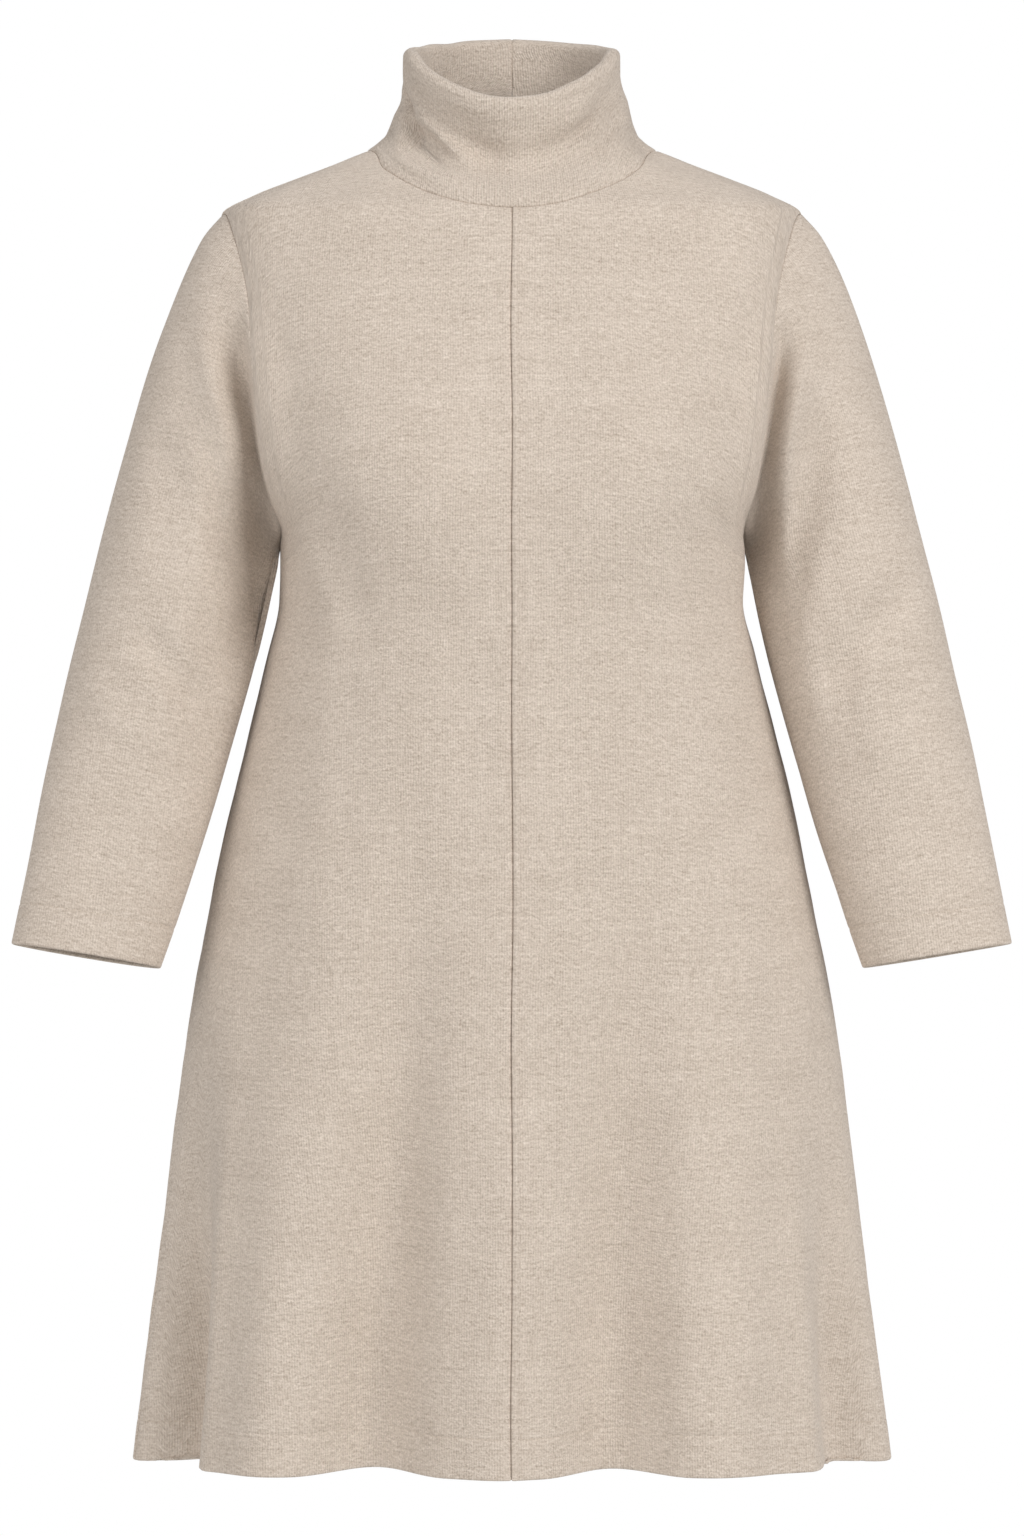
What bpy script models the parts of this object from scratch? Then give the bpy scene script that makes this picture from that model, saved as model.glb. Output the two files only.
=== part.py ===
"""Tunic dress in a brushed knit, worn shape with nobody in it.

Two fronts that meet at a centre seam, one back, two set-in sleeves and a soft folded
collar. Each is a cloth wall of its own, 0.3 mm from its neighbours at the seams.

Metres, +Z up, the front faces -Y and the wearer's left is +X. The origin is the middle
of the neck opening, level with the tops of the two shoulder seams.
An angle round the body starts at the centre front and grows towards +X.
"""

from collections import namedtuple

import bmesh
import bpy
import numpy as np

# Driving dimensions

HEM_Z = -0.914  # neck point to hem
CLOTH = 0.0015  # one layer of the knit
SEAM_GAP = 0.0003
HEM_ALLOWANCE = 0.028  # turned up inside and stitched
TURN_STEP = 0.0015  # height over which the turned-up layer ends
TURNED_CLOTH = 0.0029
MITRE_FLOOR = 0.45  # shortest share of a wall's depth that a seam's mitre may divide by

NECK_HALF_WIDTH = 0.101
NECK_FRONT_DROP = 0.0465
NECK_BACK_DROP = 0.012
NECK_SCOOP_POWER = 1.5
SHOULDER_ANGLE = 83.0  # the shoulder seam is rolled forward by a few millimetres
SHOULDER_TIP_Z = -0.045

UNDERARM_Z = -0.275
UNDERARM_ANGLE = 90.0
SIDE_SEAM_ANGLE = 83.0  # below the hip the side seam swings forward too
SIDE_SWING_TOP = -0.30
SIDE_SWING_FOOT = -0.62
ARMHOLE_SCOOP_FRONT = 28.0
ARMHOLE_SCOOP_BACK = 32.0
ARMHOLE_POWER_FRONT = 0.8  # below 1 the scoop is squarer, above 1 more pointed
ARMHOLE_POWER_BACK = 1.25
ARMHOLE_SPREAD = -0.35  # below zero its points lie wider apart near the tip and underarm
ROW_SAG_FRONT = 0.035  # how far a panel's rows sag between its centre and the underarm
ROW_SAG_BACK = 0.020
SAG_PEAK = 27 / 4  # makes the highest value of s * s * (1 - s) equal to 1
EDGE_POWER = 2.0  # above 1, the bends of a panel's outer edge reach less far into it

EDGE_FOLD_WIDTH = 0.0038  # the raised edge beside the centre front seam
EDGE_FOLD_HEIGHT = 0.0009
EDGE_FOLD_SLOPE = 0.0007

LIFT_SHARE = 0.11  # a fold draws the cloth up by this share of its depth
FOLD_FULL = 0.95  # share of its line at which a fold is full
FOLD_GROWTH = 1.3
FOLD_FADE_FROM = 0.5
SIDE_HOLD = 0.10  # cosine of the angle from the front or back at which folds begin
SIDE_FADE = 0.28  # and how much more it takes for their full depth

# Counts of faces between seam points, shared by the pieces on both sides of a seam

SIDE_ROWS = 19
ARMHOLE_ROWS = 11
NECK_FRONT_COLUMNS = 8
NECK_BACK_COLUMNS = 14
SHOULDER_COLUMNS = 7
SLEEVE_CAP_ROWS = 10
SLEEVE_ARM_ROWS = 10
COLLAR_LEG_ROWS = 9
COLLAR_ROLL_ROWS = 5
COLLAR_LINING_ROWS = 6
FINE_STEPS = 800  # samples of a line whose length is measured
SEAM_SIDE_ROW = 3  # a sleeve's row that lies clearly on its own side of the armhole

# Small steps in angle and height, or in turn and share, that a normal is taken over

BODY_STEPS = (0.004, 0.0008)
SLEEVE_STEPS = (0.05, 0.004)
COLLAR_STEPS = (0.05, 0.01)

# Girths of the body, from above the neck point down. Above the underarm the half width
# is that of the ring the armhole is cut from.

Girth = namedtuple("Girth", "z half_width front_depth back_depth squareness")
BODY = (
    Girth(z=0.006, half_width=0.0900, front_depth=0.0100, back_depth=0.0120, squareness=2.3),
    Girth(z=0.000, half_width=0.1010, front_depth=0.0250, back_depth=0.0300, squareness=2.3),
    Girth(z=-0.004, half_width=0.1109, front_depth=0.0318, back_depth=0.0440, squareness=2.3),
    Girth(z=-0.010, half_width=0.1250, front_depth=0.0408, back_depth=0.0580, squareness=2.3),
    Girth(z=-0.021, half_width=0.1535, front_depth=0.0537, back_depth=0.0700, squareness=2.3),
    Girth(z=-0.032, half_width=0.1808, front_depth=0.0646, back_depth=0.0759, squareness=2.3),
    Girth(z=-0.045, half_width=0.2027, front_depth=0.0770, back_depth=0.0811, squareness=2.35),
    Girth(z=-0.080, half_width=0.2080, front_depth=0.0900, back_depth=0.0920, squareness=2.4),
    Girth(z=-0.120, half_width=0.2100, front_depth=0.1020, back_depth=0.1000, squareness=2.4),
    Girth(z=-0.160, half_width=0.2060, front_depth=0.1135, back_depth=0.1040, squareness=2.4),
    Girth(z=-0.200, half_width=0.1960, front_depth=0.1240, back_depth=0.1050, squareness=2.4),
    Girth(z=-0.240, half_width=0.1780, front_depth=0.1310, back_depth=0.1035, squareness=2.4),
    Girth(z=-0.275, half_width=0.1610, front_depth=0.1325, back_depth=0.1010, squareness=2.4),
    Girth(z=-0.315, half_width=0.1617, front_depth=0.1300, back_depth=0.0985, squareness=2.35),
    Girth(z=-0.350, half_width=0.1698, front_depth=0.1285, back_depth=0.0980, squareness=2.3),
    Girth(z=-0.400, half_width=0.1820, front_depth=0.1275, back_depth=0.0985, squareness=2.3),
    Girth(z=-0.500, half_width=0.2054, front_depth=0.1270, back_depth=0.1080, squareness=2.3),
    Girth(z=-0.600, half_width=0.2244, front_depth=0.1255, back_depth=0.1200, squareness=2.3),
    Girth(z=-0.700, half_width=0.2382, front_depth=0.1240, back_depth=0.1280, squareness=2.3),
    Girth(z=-0.800, half_width=0.2506, front_depth=0.1220, back_depth=0.1335, squareness=2.3),
    Girth(z=-0.914, half_width=0.2650, front_depth=0.1200, back_depth=0.1380, squareness=2.3),
)

# Folds and swells of the body, as lines seen from the front, each from its start to its
# end. A width is half the fold's breadth, and a depth below zero is a valley.

Fold = namedtuple("Fold", "face start end start_width end_width depth end_share")
BODY_FOLDS = (
    Fold("front", (-0.055, -0.360), (-0.097, -0.914), 0.034, 0.052, -0.030, 1.0),
    Fold("front", (0.088, -0.350), (0.071, -0.914), 0.034, 0.050, -0.027, 1.0),
    Fold("front", (0.008, -0.440), (-0.008, -0.914), 0.045, 0.052, 0.014, 1.0),
    Fold("front", (-0.130, -0.480), (-0.168, -0.914), 0.040, 0.045, 0.015, 1.0),
    Fold("front", (0.145, -0.480), (0.142, -0.914), 0.040, 0.047, 0.013, 1.0),
    Fold("front", (-0.205, -0.560), (-0.244, -0.914), 0.020, 0.034, -0.040, 1.0),
    Fold("front", (0.205, -0.600), (0.242, -0.914), 0.022, 0.036, -0.030, 1.0),
    Fold("front", (-0.150, -0.235), (-0.128, -0.325), 0.016, 0.020, 0.005, 0.2),
    Fold("front", (0.140, -0.225), (0.164, -0.315), 0.016, 0.020, 0.005, 0.2),
    Fold("back", (-0.110, -0.420), (-0.142, -0.914), 0.034, 0.050, -0.026, 1.0),
    Fold("back", (0.020, -0.380), (0.012, -0.914), 0.034, 0.052, -0.029, 1.0),
    Fold("back", (0.120, -0.450), (0.150, -0.914), 0.032, 0.048, -0.024, 1.0),
    Fold("back", (-0.050, -0.480), (-0.066, -0.914), 0.038, 0.046, 0.013, 1.0),
    Fold("back", (0.072, -0.500), (0.084, -0.914), 0.038, 0.046, 0.014, 1.0),
    Fold("back", (-0.175, -0.560), (-0.205, -0.914), 0.032, 0.038, 0.012, 1.0),
    Fold("back", (0.180, -0.540), (0.212, -0.914), 0.032, 0.038, 0.011, 1.0),
    Fold("back", (-0.010, -0.150), (0.014, -0.330), 0.040, 0.048, -0.006, 0.2),
)
Swell = namedtuple("Swell", "face x z half_width half_height height")
BODY_SWELLS = (
    Swell(face="front", x=-0.084, z=-0.225, half_width=0.085, half_height=0.115, height=0.010),
    Swell(face="front", x=0.084, z=-0.225, half_width=0.085, half_height=0.115, height=0.010),
    Swell(face="back", x=-0.082, z=-0.110, half_width=0.080, half_height=0.090, height=0.007),
    Swell(face="back", x=0.082, z=-0.110, half_width=0.080, half_height=0.090, height=0.007),
)

# The sleeve hangs between an outer and an inner line. The runs say how far down each
# line a row of the sleeve lies, as shares of the line's length.

SLEEVE_OUTER = (
    (0.2012, -0.045),
    (0.2163, -0.063),
    (0.2440, -0.126),
    (0.2700, -0.210),
    (0.2915, -0.294),
    (0.3108, -0.378),
    (0.3280, -0.461),
    (0.3452, -0.553),
)
SLEEVE_INNER = (
    (0.1610, -0.275),
    (0.1733, -0.335),
    (0.1947, -0.419),
    (0.2198, -0.502),
    (0.2423, -0.570),
)
SleeveRow = namedtuple("SleeveRow", "share outer_run inner_run depth squareness")
SLEEVE_ROWS = (
    SleeveRow(share=0.00, outer_run=0.000, inner_run=0.000, depth=0.114, squareness=2.0),
    SleeveRow(share=0.15, outer_run=0.160, inner_run=0.010, depth=0.117, squareness=2.0),
    SleeveRow(share=0.30, outer_run=0.330, inner_run=0.025, depth=0.119, squareness=2.0),
    SleeveRow(share=0.45, outer_run=0.508, inner_run=0.085, depth=0.116, squareness=2.1),
    SleeveRow(share=0.70, outer_run=0.732, inner_run=0.520, depth=0.093, squareness=2.1),
    SleeveRow(share=1.00, outer_run=1.000, inner_run=1.000, depth=0.062, squareness=2.1),
)
SLEEVE_CAP_SHARE = 0.45
SLEEVE_BLEND_SHARE = 0.34  # rows above this still follow the armhole's own line
SLEEVE_CENTRE_Y = -0.0045
SLEEVE_FORWARD = {1: 0.044, -1: 0.052}  # how far forward the cuff hangs, left and right
SLEEVE_PITCH = {1: 4.5, -1: 6.0}
SLEEVE_FOLD_START = 0.2  # shares of a sleeve fold's line over which it grows and fades
SLEEVE_FOLD_FADE = 0.3
SLEEVE_SEAM_CALM = 0.035  # share of the sleeve below the armhole that the folds stay off
SleeveFold = namedtuple("SleeveFold", "side line width depth")
SLEEVE_FOLDS = (
    SleeveFold(
        side=-1,
        line=(
            (0.212, -0.095),
            (0.195, -0.150),
            (0.183, -0.196),
            (0.176, -0.245),
            (0.178, -0.310),
            (0.190, -0.390),
        ),
        width=0.025,
        depth=-0.026,
    ),
    SleeveFold(
        side=1,
        line=(
            (0.210, -0.105),
            (0.194, -0.155),
            (0.183, -0.200),
            (0.178, -0.250),
            (0.182, -0.320),
            (0.195, -0.390),
        ),
        width=0.023,
        depth=-0.018,
    ),
    SleeveFold(
        side=-1,
        line=((0.226, -0.085), (0.205, -0.140), (0.206, -0.200)),
        width=0.022,
        depth=0.006,
    ),
    SleeveFold(
        side=1,
        line=((0.206, -0.180), (0.200, -0.260), (0.205, -0.340)),
        width=0.022,
        depth=0.006,
    ),
    SleeveFold(
        side=-1,
        line=((0.262, -0.330), (0.228, -0.372), (0.212, -0.400)),
        width=0.020,
        depth=-0.005,
    ),
    SleeveFold(
        side=1,
        line=((0.278, -0.300), (0.235, -0.352), (0.212, -0.385)),
        width=0.020,
        depth=-0.005,
    ),
)

# The collar rises from the neck seam to a rolled rim, and its lining comes back down.

RIM_HALF_WIDTH = 0.0762
RIM_FRONT_Y = -0.0660
RIM_BACK_Y = 0.0660
RIM_FRONT_Z = 0.0275
RIM_SIDE_Z = 0.0665
RIM_BACK_Z = 0.0820
ROLL_RADIUS = 0.0046
LINING_GAP = 0.0046  # from the collar's face to its lining's face, at the neck seam
LINING_END = 0.05  # share of the collar's height at which the lining ends
RIM_TURN_POWER = 1.5  # above 1, front and back heights of the rim reach less far round
DENT_FOOT_CALM = 0.15  # shares of the collar's height that its dents stay off
DENT_RIM_CALM = 0.12
CollarRise = namedtuple("CollarRise", "share height side_drift front_drift back_drift")
COLLAR_RISE = (
    CollarRise(share=0.00, height=0.00, side_drift=0.00, front_drift=0.00, back_drift=0.00),
    CollarRise(share=0.12, height=0.09, side_drift=0.33, front_drift=-0.10, back_drift=-0.30),
    CollarRise(share=0.25, height=0.21, side_drift=0.66, front_drift=-0.02, back_drift=-0.50),
    CollarRise(share=0.40, height=0.36, side_drift=0.80, front_drift=0.75, back_drift=-0.30),
    CollarRise(share=0.55, height=0.52, side_drift=0.90, front_drift=1.40, back_drift=0.00),
    CollarRise(share=0.70, height=0.68, side_drift=0.98, front_drift=0.95, back_drift=0.40),
    CollarRise(share=0.85, height=0.84, side_drift=1.00, front_drift=0.60, back_drift=0.80),
    CollarRise(share=1.00, height=1.00, side_drift=1.00, front_drift=1.00, back_drift=1.00),
)
Dent = namedtuple("Dent", "angle share half_angle half_share depth")
COLLAR_DENTS = (
    Dent(angle=-88.0, share=0.56, half_angle=34.0, half_share=0.16, depth=-0.0040),
    Dent(angle=-62.0, share=0.36, half_angle=30.0, half_share=0.17, depth=-0.0060),
    Dent(angle=-45.0, share=0.20, half_angle=32.0, half_share=0.12, depth=0.0030),
    Dent(angle=2.0, share=0.52, half_angle=42.0, half_share=0.15, depth=-0.0040),
    Dent(angle=0.0, share=0.80, half_angle=40.0, half_share=0.17, depth=0.0040),
    Dent(angle=72.0, share=0.50, half_angle=24.0, half_share=0.15, depth=-0.0050),
    Dent(angle=50.0, share=0.32, half_angle=26.0, half_share=0.13, depth=-0.0050),
    Dent(angle=140.0, share=0.55, half_angle=26.0, half_share=0.30, depth=-0.0035),
    Dent(angle=-150.0, share=0.50, half_angle=24.0, half_share=0.28, depth=-0.0030),
)

KNIT_COLOUR = (0.66, 0.58, 0.50, 1.0)
KNIT_ROUGHNESS = 0.95
SHARP_ANGLE = 70.0


def smoothstep(value):
    """0 up to 0, 1 from 1 on, and a smooth rise between."""
    value = np.clip(value, 0.0, 1.0)
    return value * value * (3.0 - 2.0 * value)


def bump(distance):
    """1 in the middle, falling smoothly to 0 at a distance of 1."""
    return 0.5 + 0.5 * np.cos(np.pi * np.clip(np.abs(distance), 0.0, 1.0))


def unit(vectors):
    """The same directions with a length of 1."""
    length = np.linalg.norm(vectors, axis=-1, keepdims=True)
    return vectors / np.maximum(length, 1e-12)


def glide(knots, values, at):
    """A smooth curve through the values, with no overshoot between them."""
    knots, values = np.asarray(knots, float), np.asarray(values, float)
    step = np.diff(knots)
    rise = np.diff(values) / step
    slope = np.zeros_like(values)
    slope[0], slope[-1] = rise[0], rise[-1]
    turning = rise[:-1] * rise[1:] <= 0
    total = np.where(turning, 1.0, rise[:-1] + rise[1:])
    slope[1:-1] = np.where(turning, 0.0, 2.0 * rise[:-1] * rise[1:] / total)
    span = np.clip(np.searchsorted(knots, at, side="right") - 1, 0, len(step) - 1)
    u = np.clip((at - knots[span]) / step[span], 0.0, 1.0)
    hold, reach = (1 + 2 * u) * (1 - u) ** 2, u * u * (3 - 2 * u)
    leave, arrive = u * (1 - u) ** 2, u * u * (u - 1)
    ends = hold * values[span] + reach * values[span + 1]
    return ends + step[span] * (leave * slope[span] + arrive * slope[span + 1])


def column(table, name):
    """One named column of a table, as an array."""
    return np.array([getattr(row, name) for row in table])


def along(line, run):
    """Points at the given distances along a line of (x, z) points, bent smoothly."""
    line = np.array(line)
    length = np.concatenate([[0.0], np.cumsum(np.linalg.norm(np.diff(line, axis=0), axis=1))])
    at = np.clip(run, 0.0, 1.0) * length[-1]
    return np.stack([glide(length, line[:, k], at) for k in (0, 1)], axis=-1)


def beside_line(x, z, line):
    """How far each x lies beside a line at its height, and how far down the line that is."""
    across, heights = np.array(line).T
    middle = glide(heights[::-1], across[::-1], z)
    return x - middle, np.clip((heights[0] - z) / (heights[0] - heights[-1]), 0.0, 1.0)


# The body's cloth


def body_girth(z):
    """Half width, front depth, back depth and squareness of the ring at each height."""
    rows = BODY[::-1]
    heights = column(rows, "z")
    return [glide(heights, column(rows, name), z) for name in Girth._fields[1:]]


def ring_point(angle, z):
    """The body's outer surface before its folds."""
    half_width, front, back, power = body_girth(z)
    sine, cosine = np.sin(angle), np.cos(angle)
    reach = (np.abs(sine) ** power + np.abs(cosine) ** power) ** (-1.0 / power)
    depth = np.where(cosine >= 0, front, back)
    return np.stack([half_width * reach * sine, -depth * reach * cosine, z + 0 * angle], axis=-1)


def slopes_of(surface, u, v, u_step, v_step):
    """Unit normal of a surface from small steps in both of its directions."""
    across = surface(u + u_step, v) - surface(u - u_step, v)
    upward = surface(u, v + v_step) - surface(u, v - v_step)
    return unit(np.cross(across, upward))


def ring_normal(angle, z):
    """Outward normal of the unfolded body."""
    return slopes_of(ring_point, angle, z, *BODY_STEPS)


def fold_push(x, z, on_front, on_back):
    """How far the folds and swells move the cloth out, and how far they lift it."""
    push = np.zeros(np.shape(x))
    lift = np.zeros(np.shape(x))
    face = {"front": on_front, "back": on_back}
    for fold in BODY_FOLDS:
        away, progress = beside_line(x, z, (fold.start, fold.end))
        width = fold.start_width + (fold.end_width - fold.start_width) * progress
        grown = smoothstep(progress / FOLD_FULL) ** FOLD_GROWTH
        fading = 1.0 - (1.0 - fold.end_share) * smoothstep(
            (progress - FOLD_FADE_FROM) / (1.0 - FOLD_FADE_FROM)
        )
        share = face[fold.face] * bump(away / width) * grown * fading
        push = push + fold.depth * share
        lift = lift + LIFT_SHARE * max(-fold.depth, 0.0) * share
    for swell in BODY_SWELLS:
        far = np.hypot((x - swell.x) / swell.half_width, (z - swell.z) / swell.half_height)
        push = push + face[swell.face] * swell.height * bump(far)
    return push, lift


def body_point(angle, z):
    """The body's outer surface with its folds."""
    flat = ring_point(angle, z)
    front = smoothstep((np.cos(angle) - SIDE_HOLD) / SIDE_FADE)
    back = smoothstep((-np.cos(angle) - SIDE_HOLD) / SIDE_FADE)
    push, lift = fold_push(flat[..., 0], flat[..., 2], front, back)
    moved = flat + push[..., None] * ring_normal(angle, z)
    moved[..., 2] += lift
    return moved


def body_normal(angle, z):
    """Outward normal of the body's cloth."""
    return slopes_of(body_point, angle, z, *BODY_STEPS)


# Seam lines on the body, for the wearer's left, as angles in degrees and heights


def ring_angle(x, z):
    """Angle in degrees at which the front of the ring at z lies at x."""
    half_width, _, _, power = body_girth(z)
    share = np.clip(x / half_width, 0.0, 1.0 - 1e-9) ** power
    return np.degrees(np.arctan((share / (1.0 - share)) ** (1.0 / power)))


def neckline(drop, count, back):
    """From the centre to the shoulder seam: the neck's oval laid on the body."""
    turn = np.radians(np.linspace(0.0, 90.0, count + 1))
    z = -drop * np.cos(turn) ** NECK_SCOOP_POWER
    angle = ring_angle(NECK_HALF_WIDTH * np.sin(turn), z)
    angle = 180.0 - angle if back else angle
    angle[-1], z[-1] = SHOULDER_ANGLE, 0.0
    return angle, z


def shoulder_line():
    """From the neck point to the shoulder tip."""
    rows = BODY[1:7]
    x = np.linspace(rows[0].half_width, rows[-1].half_width, SHOULDER_COLUMNS + 1)
    z = glide(column(rows, "half_width"), column(rows, "z"), x)
    return np.full(SHOULDER_COLUMNS + 1, SHOULDER_ANGLE), z


def armhole_turns():
    """Turns of the armhole's points, from the shoulder tip to the underarm."""
    even = np.linspace(0.0, 1.0, ARMHOLE_ROWS + 1)
    return np.pi * (even - ARMHOLE_SPREAD * np.sin(2 * np.pi * even) / (2 * np.pi))


def armhole_line(scoop, power):
    """From the shoulder tip to the underarm, scooped towards the front or the back."""
    turn = armhole_turns()
    middle, reach = (SHOULDER_TIP_Z + UNDERARM_Z) / 2, (SHOULDER_TIP_Z - UNDERARM_Z) / 2
    z = middle + reach * np.cos(turn)
    seam = SHOULDER_ANGLE + (UNDERARM_ANGLE - SHOULDER_ANGLE) * turn / np.pi
    return seam + scoop * np.abs(np.sin(turn)) ** power, z


def row_heights(top):
    """Heights of the rows from the hem to a top, with the end of the turned-up hem."""
    first = HEM_Z + HEM_ALLOWANCE - TURN_STEP / 2
    rest = np.linspace(first + TURN_STEP, top, SIDE_ROWS)
    return np.concatenate([[HEM_Z, first], rest])


def side_line():
    """The side seam, from the hem up to the underarm."""
    z = row_heights(UNDERARM_Z)
    swing = smoothstep((SIDE_SWING_TOP - z) / (SIDE_SWING_TOP - SIDE_SWING_FOOT))
    return UNDERARM_ANGLE + (SIDE_SEAM_ANGLE - UNDERARM_ANGLE) * swing, z


def centre_line(angle, neck_drop):
    """A centre line, from the hem up, with as many rows as side and armhole have."""
    upper = np.linspace(UNDERARM_Z, -neck_drop, ARMHOLE_ROWS + 1)[1:]
    z = np.concatenate([row_heights(UNDERARM_Z), upper])
    return np.full(len(z), angle), z


def hem_line(start, end, count):
    """Even steps along the hem between two angles."""
    fine = np.linspace(start, end, FINE_STEPS)
    share = shares(ring_point(np.radians(fine), HEM_Z + 0 * fine))
    angle = np.interp(np.linspace(0.0, 1.0, count + 1), share, fine)
    return angle, np.full(count + 1, HEM_Z)


def joined(*lines):
    """Lines of (angle, z) end to end, each later one without its first point."""
    angle = np.concatenate([lines[0][0]] + [line[0][1:] for line in lines[1:]])
    z = np.concatenate([lines[0][1]] + [line[1][1:] for line in lines[1:]])
    return angle, z


def backwards(line):
    """The same line from its end to its start."""
    return line[0][::-1], line[1][::-1]


def on_ring(line):
    """Points of a line of (angle, z) on the unfolded body."""
    return ring_point(np.radians(line[0]), line[1])


def shares(points):
    """How far along a line each of its points lies, from 0 to 1."""
    length = np.concatenate([[0.0], np.cumsum(np.linalg.norm(np.diff(points, axis=0), axis=1))])
    return length / length[-1]


def spread_panel(centre, outer, hem, top, sag):
    """Angles and heights of half a panel's points, spread evenly between its four edges.

    The columns run from the garment's centre to the side seam. The rows sag beside the
    underarm, where the armhole's foot would run along them.
    """
    left, right, low, high = (on_ring(line) for line in (centre, outer, hem, top))
    up = ((shares(left) + shares(right)) / 2)[:, None, None]
    over = ((shares(low) + shares(high)) / 2)[None, :, None]
    pull = over**EDGE_POWER
    sides = (1 - pull) * left[:, None] + pull * right[:, None]
    ends = (1 - up) * low[None] + up * high[None]
    lower = (1 - pull) * low[0] + pull * low[-1]
    upper = (1 - pull) * high[0] + pull * high[-1]
    point = sides + ends - ((1 - up) * lower + up * upper)
    underarm = up[-ARMHOLE_ROWS - 1]
    near = smoothstep(np.minimum(up / underarm, (1 - up) / (1 - underarm)))
    z = point[..., 2] - sag * (near * SAG_PEAK * over**2 * (1 - over))[..., 0]
    half_width, front, back, _ = body_girth(z)
    depth = np.where(point[..., 1] <= 0, front, back)
    angle = np.arctan2(point[..., 0] / half_width, -point[..., 1] / depth)
    for index, line in ((np.s_[0, :], hem), (np.s_[-1, :], top)):
        angle[index], z[index] = np.radians(line[0]), line[1]
    for index, line in ((np.s_[:, 0], centre), (np.s_[:, -1], outer)):
        angle[index], z[index] = np.radians(line[0]), line[1]
    return angle, z


# The sleeves


def armhole_loop(side):
    """The armhole's points from the shoulder tip by the front to the underarm and back."""
    front = armhole_line(-ARMHOLE_SCOOP_FRONT, ARMHOLE_POWER_FRONT)
    back = armhole_line(ARMHOLE_SCOOP_BACK, ARMHOLE_POWER_BACK)
    angle, z = joined(front, backwards(back))
    angle, z = np.radians(side * angle[:-1]), z[:-1]
    return body_point(angle, z), body_normal(angle, z)


def sleeve_row(share, name):
    """A column of the sleeve's table at the given shares of its length."""
    return glide(column(SLEEVE_ROWS, "share"), column(SLEEVE_ROWS, name), share)


def sleeve_ring(turn, share, side):
    """The sleeve as a plain tube. The turn is 0 on its outer line and grows forwards."""
    outer = along(SLEEVE_OUTER, sleeve_row(share, "outer_run"))
    inner = along(SLEEVE_INNER, sleeve_row(share, "inner_run"))
    middle, half = (outer + inner) / 2, (outer - inner) / 2
    power = sleeve_row(share, "squareness")
    sine, cosine = np.sin(turn), np.cos(turn)
    reach = (np.abs(sine) ** power + np.abs(cosine) ** power) ** (-1.0 / power)
    forward = reach * sine * sleeve_row(share, "depth") / 2
    pitch = np.radians(SLEEVE_PITCH[side]) * smoothstep(share)
    x = middle[..., 0] + reach * cosine * half[..., 0]
    swing = 2.0 * smoothstep(share / 2.0)
    y = SLEEVE_CENTRE_Y - SLEEVE_FORWARD[side] * swing - forward * np.cos(pitch)
    z = middle[..., 1] + reach * cosine * half[..., 1] + forward * np.sin(pitch)
    return np.stack([side * x, y, z], axis=-1)


def sleeve_point(turn, share, side, seam):
    """The sleeve's outer surface. seam gives the armhole's points by the turn."""
    tube = sleeve_ring(turn, share, side)
    pull = seam(turn) - sleeve_ring(turn, 0 * share, side)
    hold = 1.0 - smoothstep(share / SLEEVE_BLEND_SHARE)
    point = tube + hold[..., None] * pull
    front = smoothstep(np.sin(turn) / SIDE_FADE)
    push = np.zeros(np.shape(turn))
    for fold in SLEEVE_FOLDS:
        if fold.side == side:
            away, progress = beside_line(side * point[..., 0], point[..., 2], fold.line)
            fade = smoothstep(progress / SLEEVE_FOLD_START)
            fade = fade * smoothstep((1 - progress) / SLEEVE_FOLD_FADE)
            push = push + front * fold.depth * bump(away / fold.width) * fade
    push = push * smoothstep(share / SLEEVE_SEAM_CALM)
    point[..., 1] -= push
    return point


def closed_lookup(turns, points):
    """A function from a turn to a point, straight between the given ring points."""
    turns = np.concatenate([turns, [turns[0] + 2 * np.pi]])
    points = np.concatenate([points, points[:1]])

    def find(turn):
        turn = np.mod(turn, 2 * np.pi)
        return np.stack([np.interp(turn, turns, points[:, k]) for k in range(3)], axis=-1)

    return find


# The collar


def ring_share(angle):
    """Shares of front, side and back at a turn round the neck. They sum to 1."""
    cosine = np.cos(angle)
    front = np.clip(cosine, 0, 1) ** RIM_TURN_POWER
    back = np.clip(-cosine, 0, 1) ** RIM_TURN_POWER
    return front, 1 - front - back, back


def collar_leg(angle, share, base):
    """The collar's outer face. base gives the neck seam's points by the turn."""
    front, side, back = ring_share(angle)
    rim_z = front * RIM_FRONT_Z + side * RIM_SIDE_Z + back * RIM_BACK_Z
    rim_depth = np.where(np.cos(angle) >= 0, -RIM_FRONT_Y, RIM_BACK_Y)
    rim = np.stack(
        [RIM_HALF_WIDTH * np.sin(angle), -rim_depth * np.cos(angle), rim_z + 0 * share], axis=-1
    )
    knots = column(COLLAR_RISE, "share")
    drift = sum(
        weight * glide(knots, column(COLLAR_RISE, name), share)
        for weight, name in ((front, "front_drift"), (side, "side_drift"), (back, "back_drift"))
    )
    height = glide(knots, column(COLLAR_RISE, "height"), share)
    foot = base(angle)
    way = np.stack([drift, drift, height], axis=-1)
    point = foot + (rim - foot) * way
    push = np.zeros(np.shape(angle))
    for dent in COLLAR_DENTS:
        turn = np.degrees(np.angle(np.exp(1j * (angle - np.radians(dent.angle)))))
        far = np.hypot(turn / dent.half_angle, (share - dent.share) / dent.half_share)
        push = push + dent.depth * bump(far)
    push = push * smoothstep(share / DENT_FOOT_CALM) * smoothstep((1 - share) / DENT_RIM_CALM)
    outward = unit(np.stack([np.sin(angle), -np.cos(angle), 0 * angle], axis=-1))
    return point + push[..., None] * outward


# Walls


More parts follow.
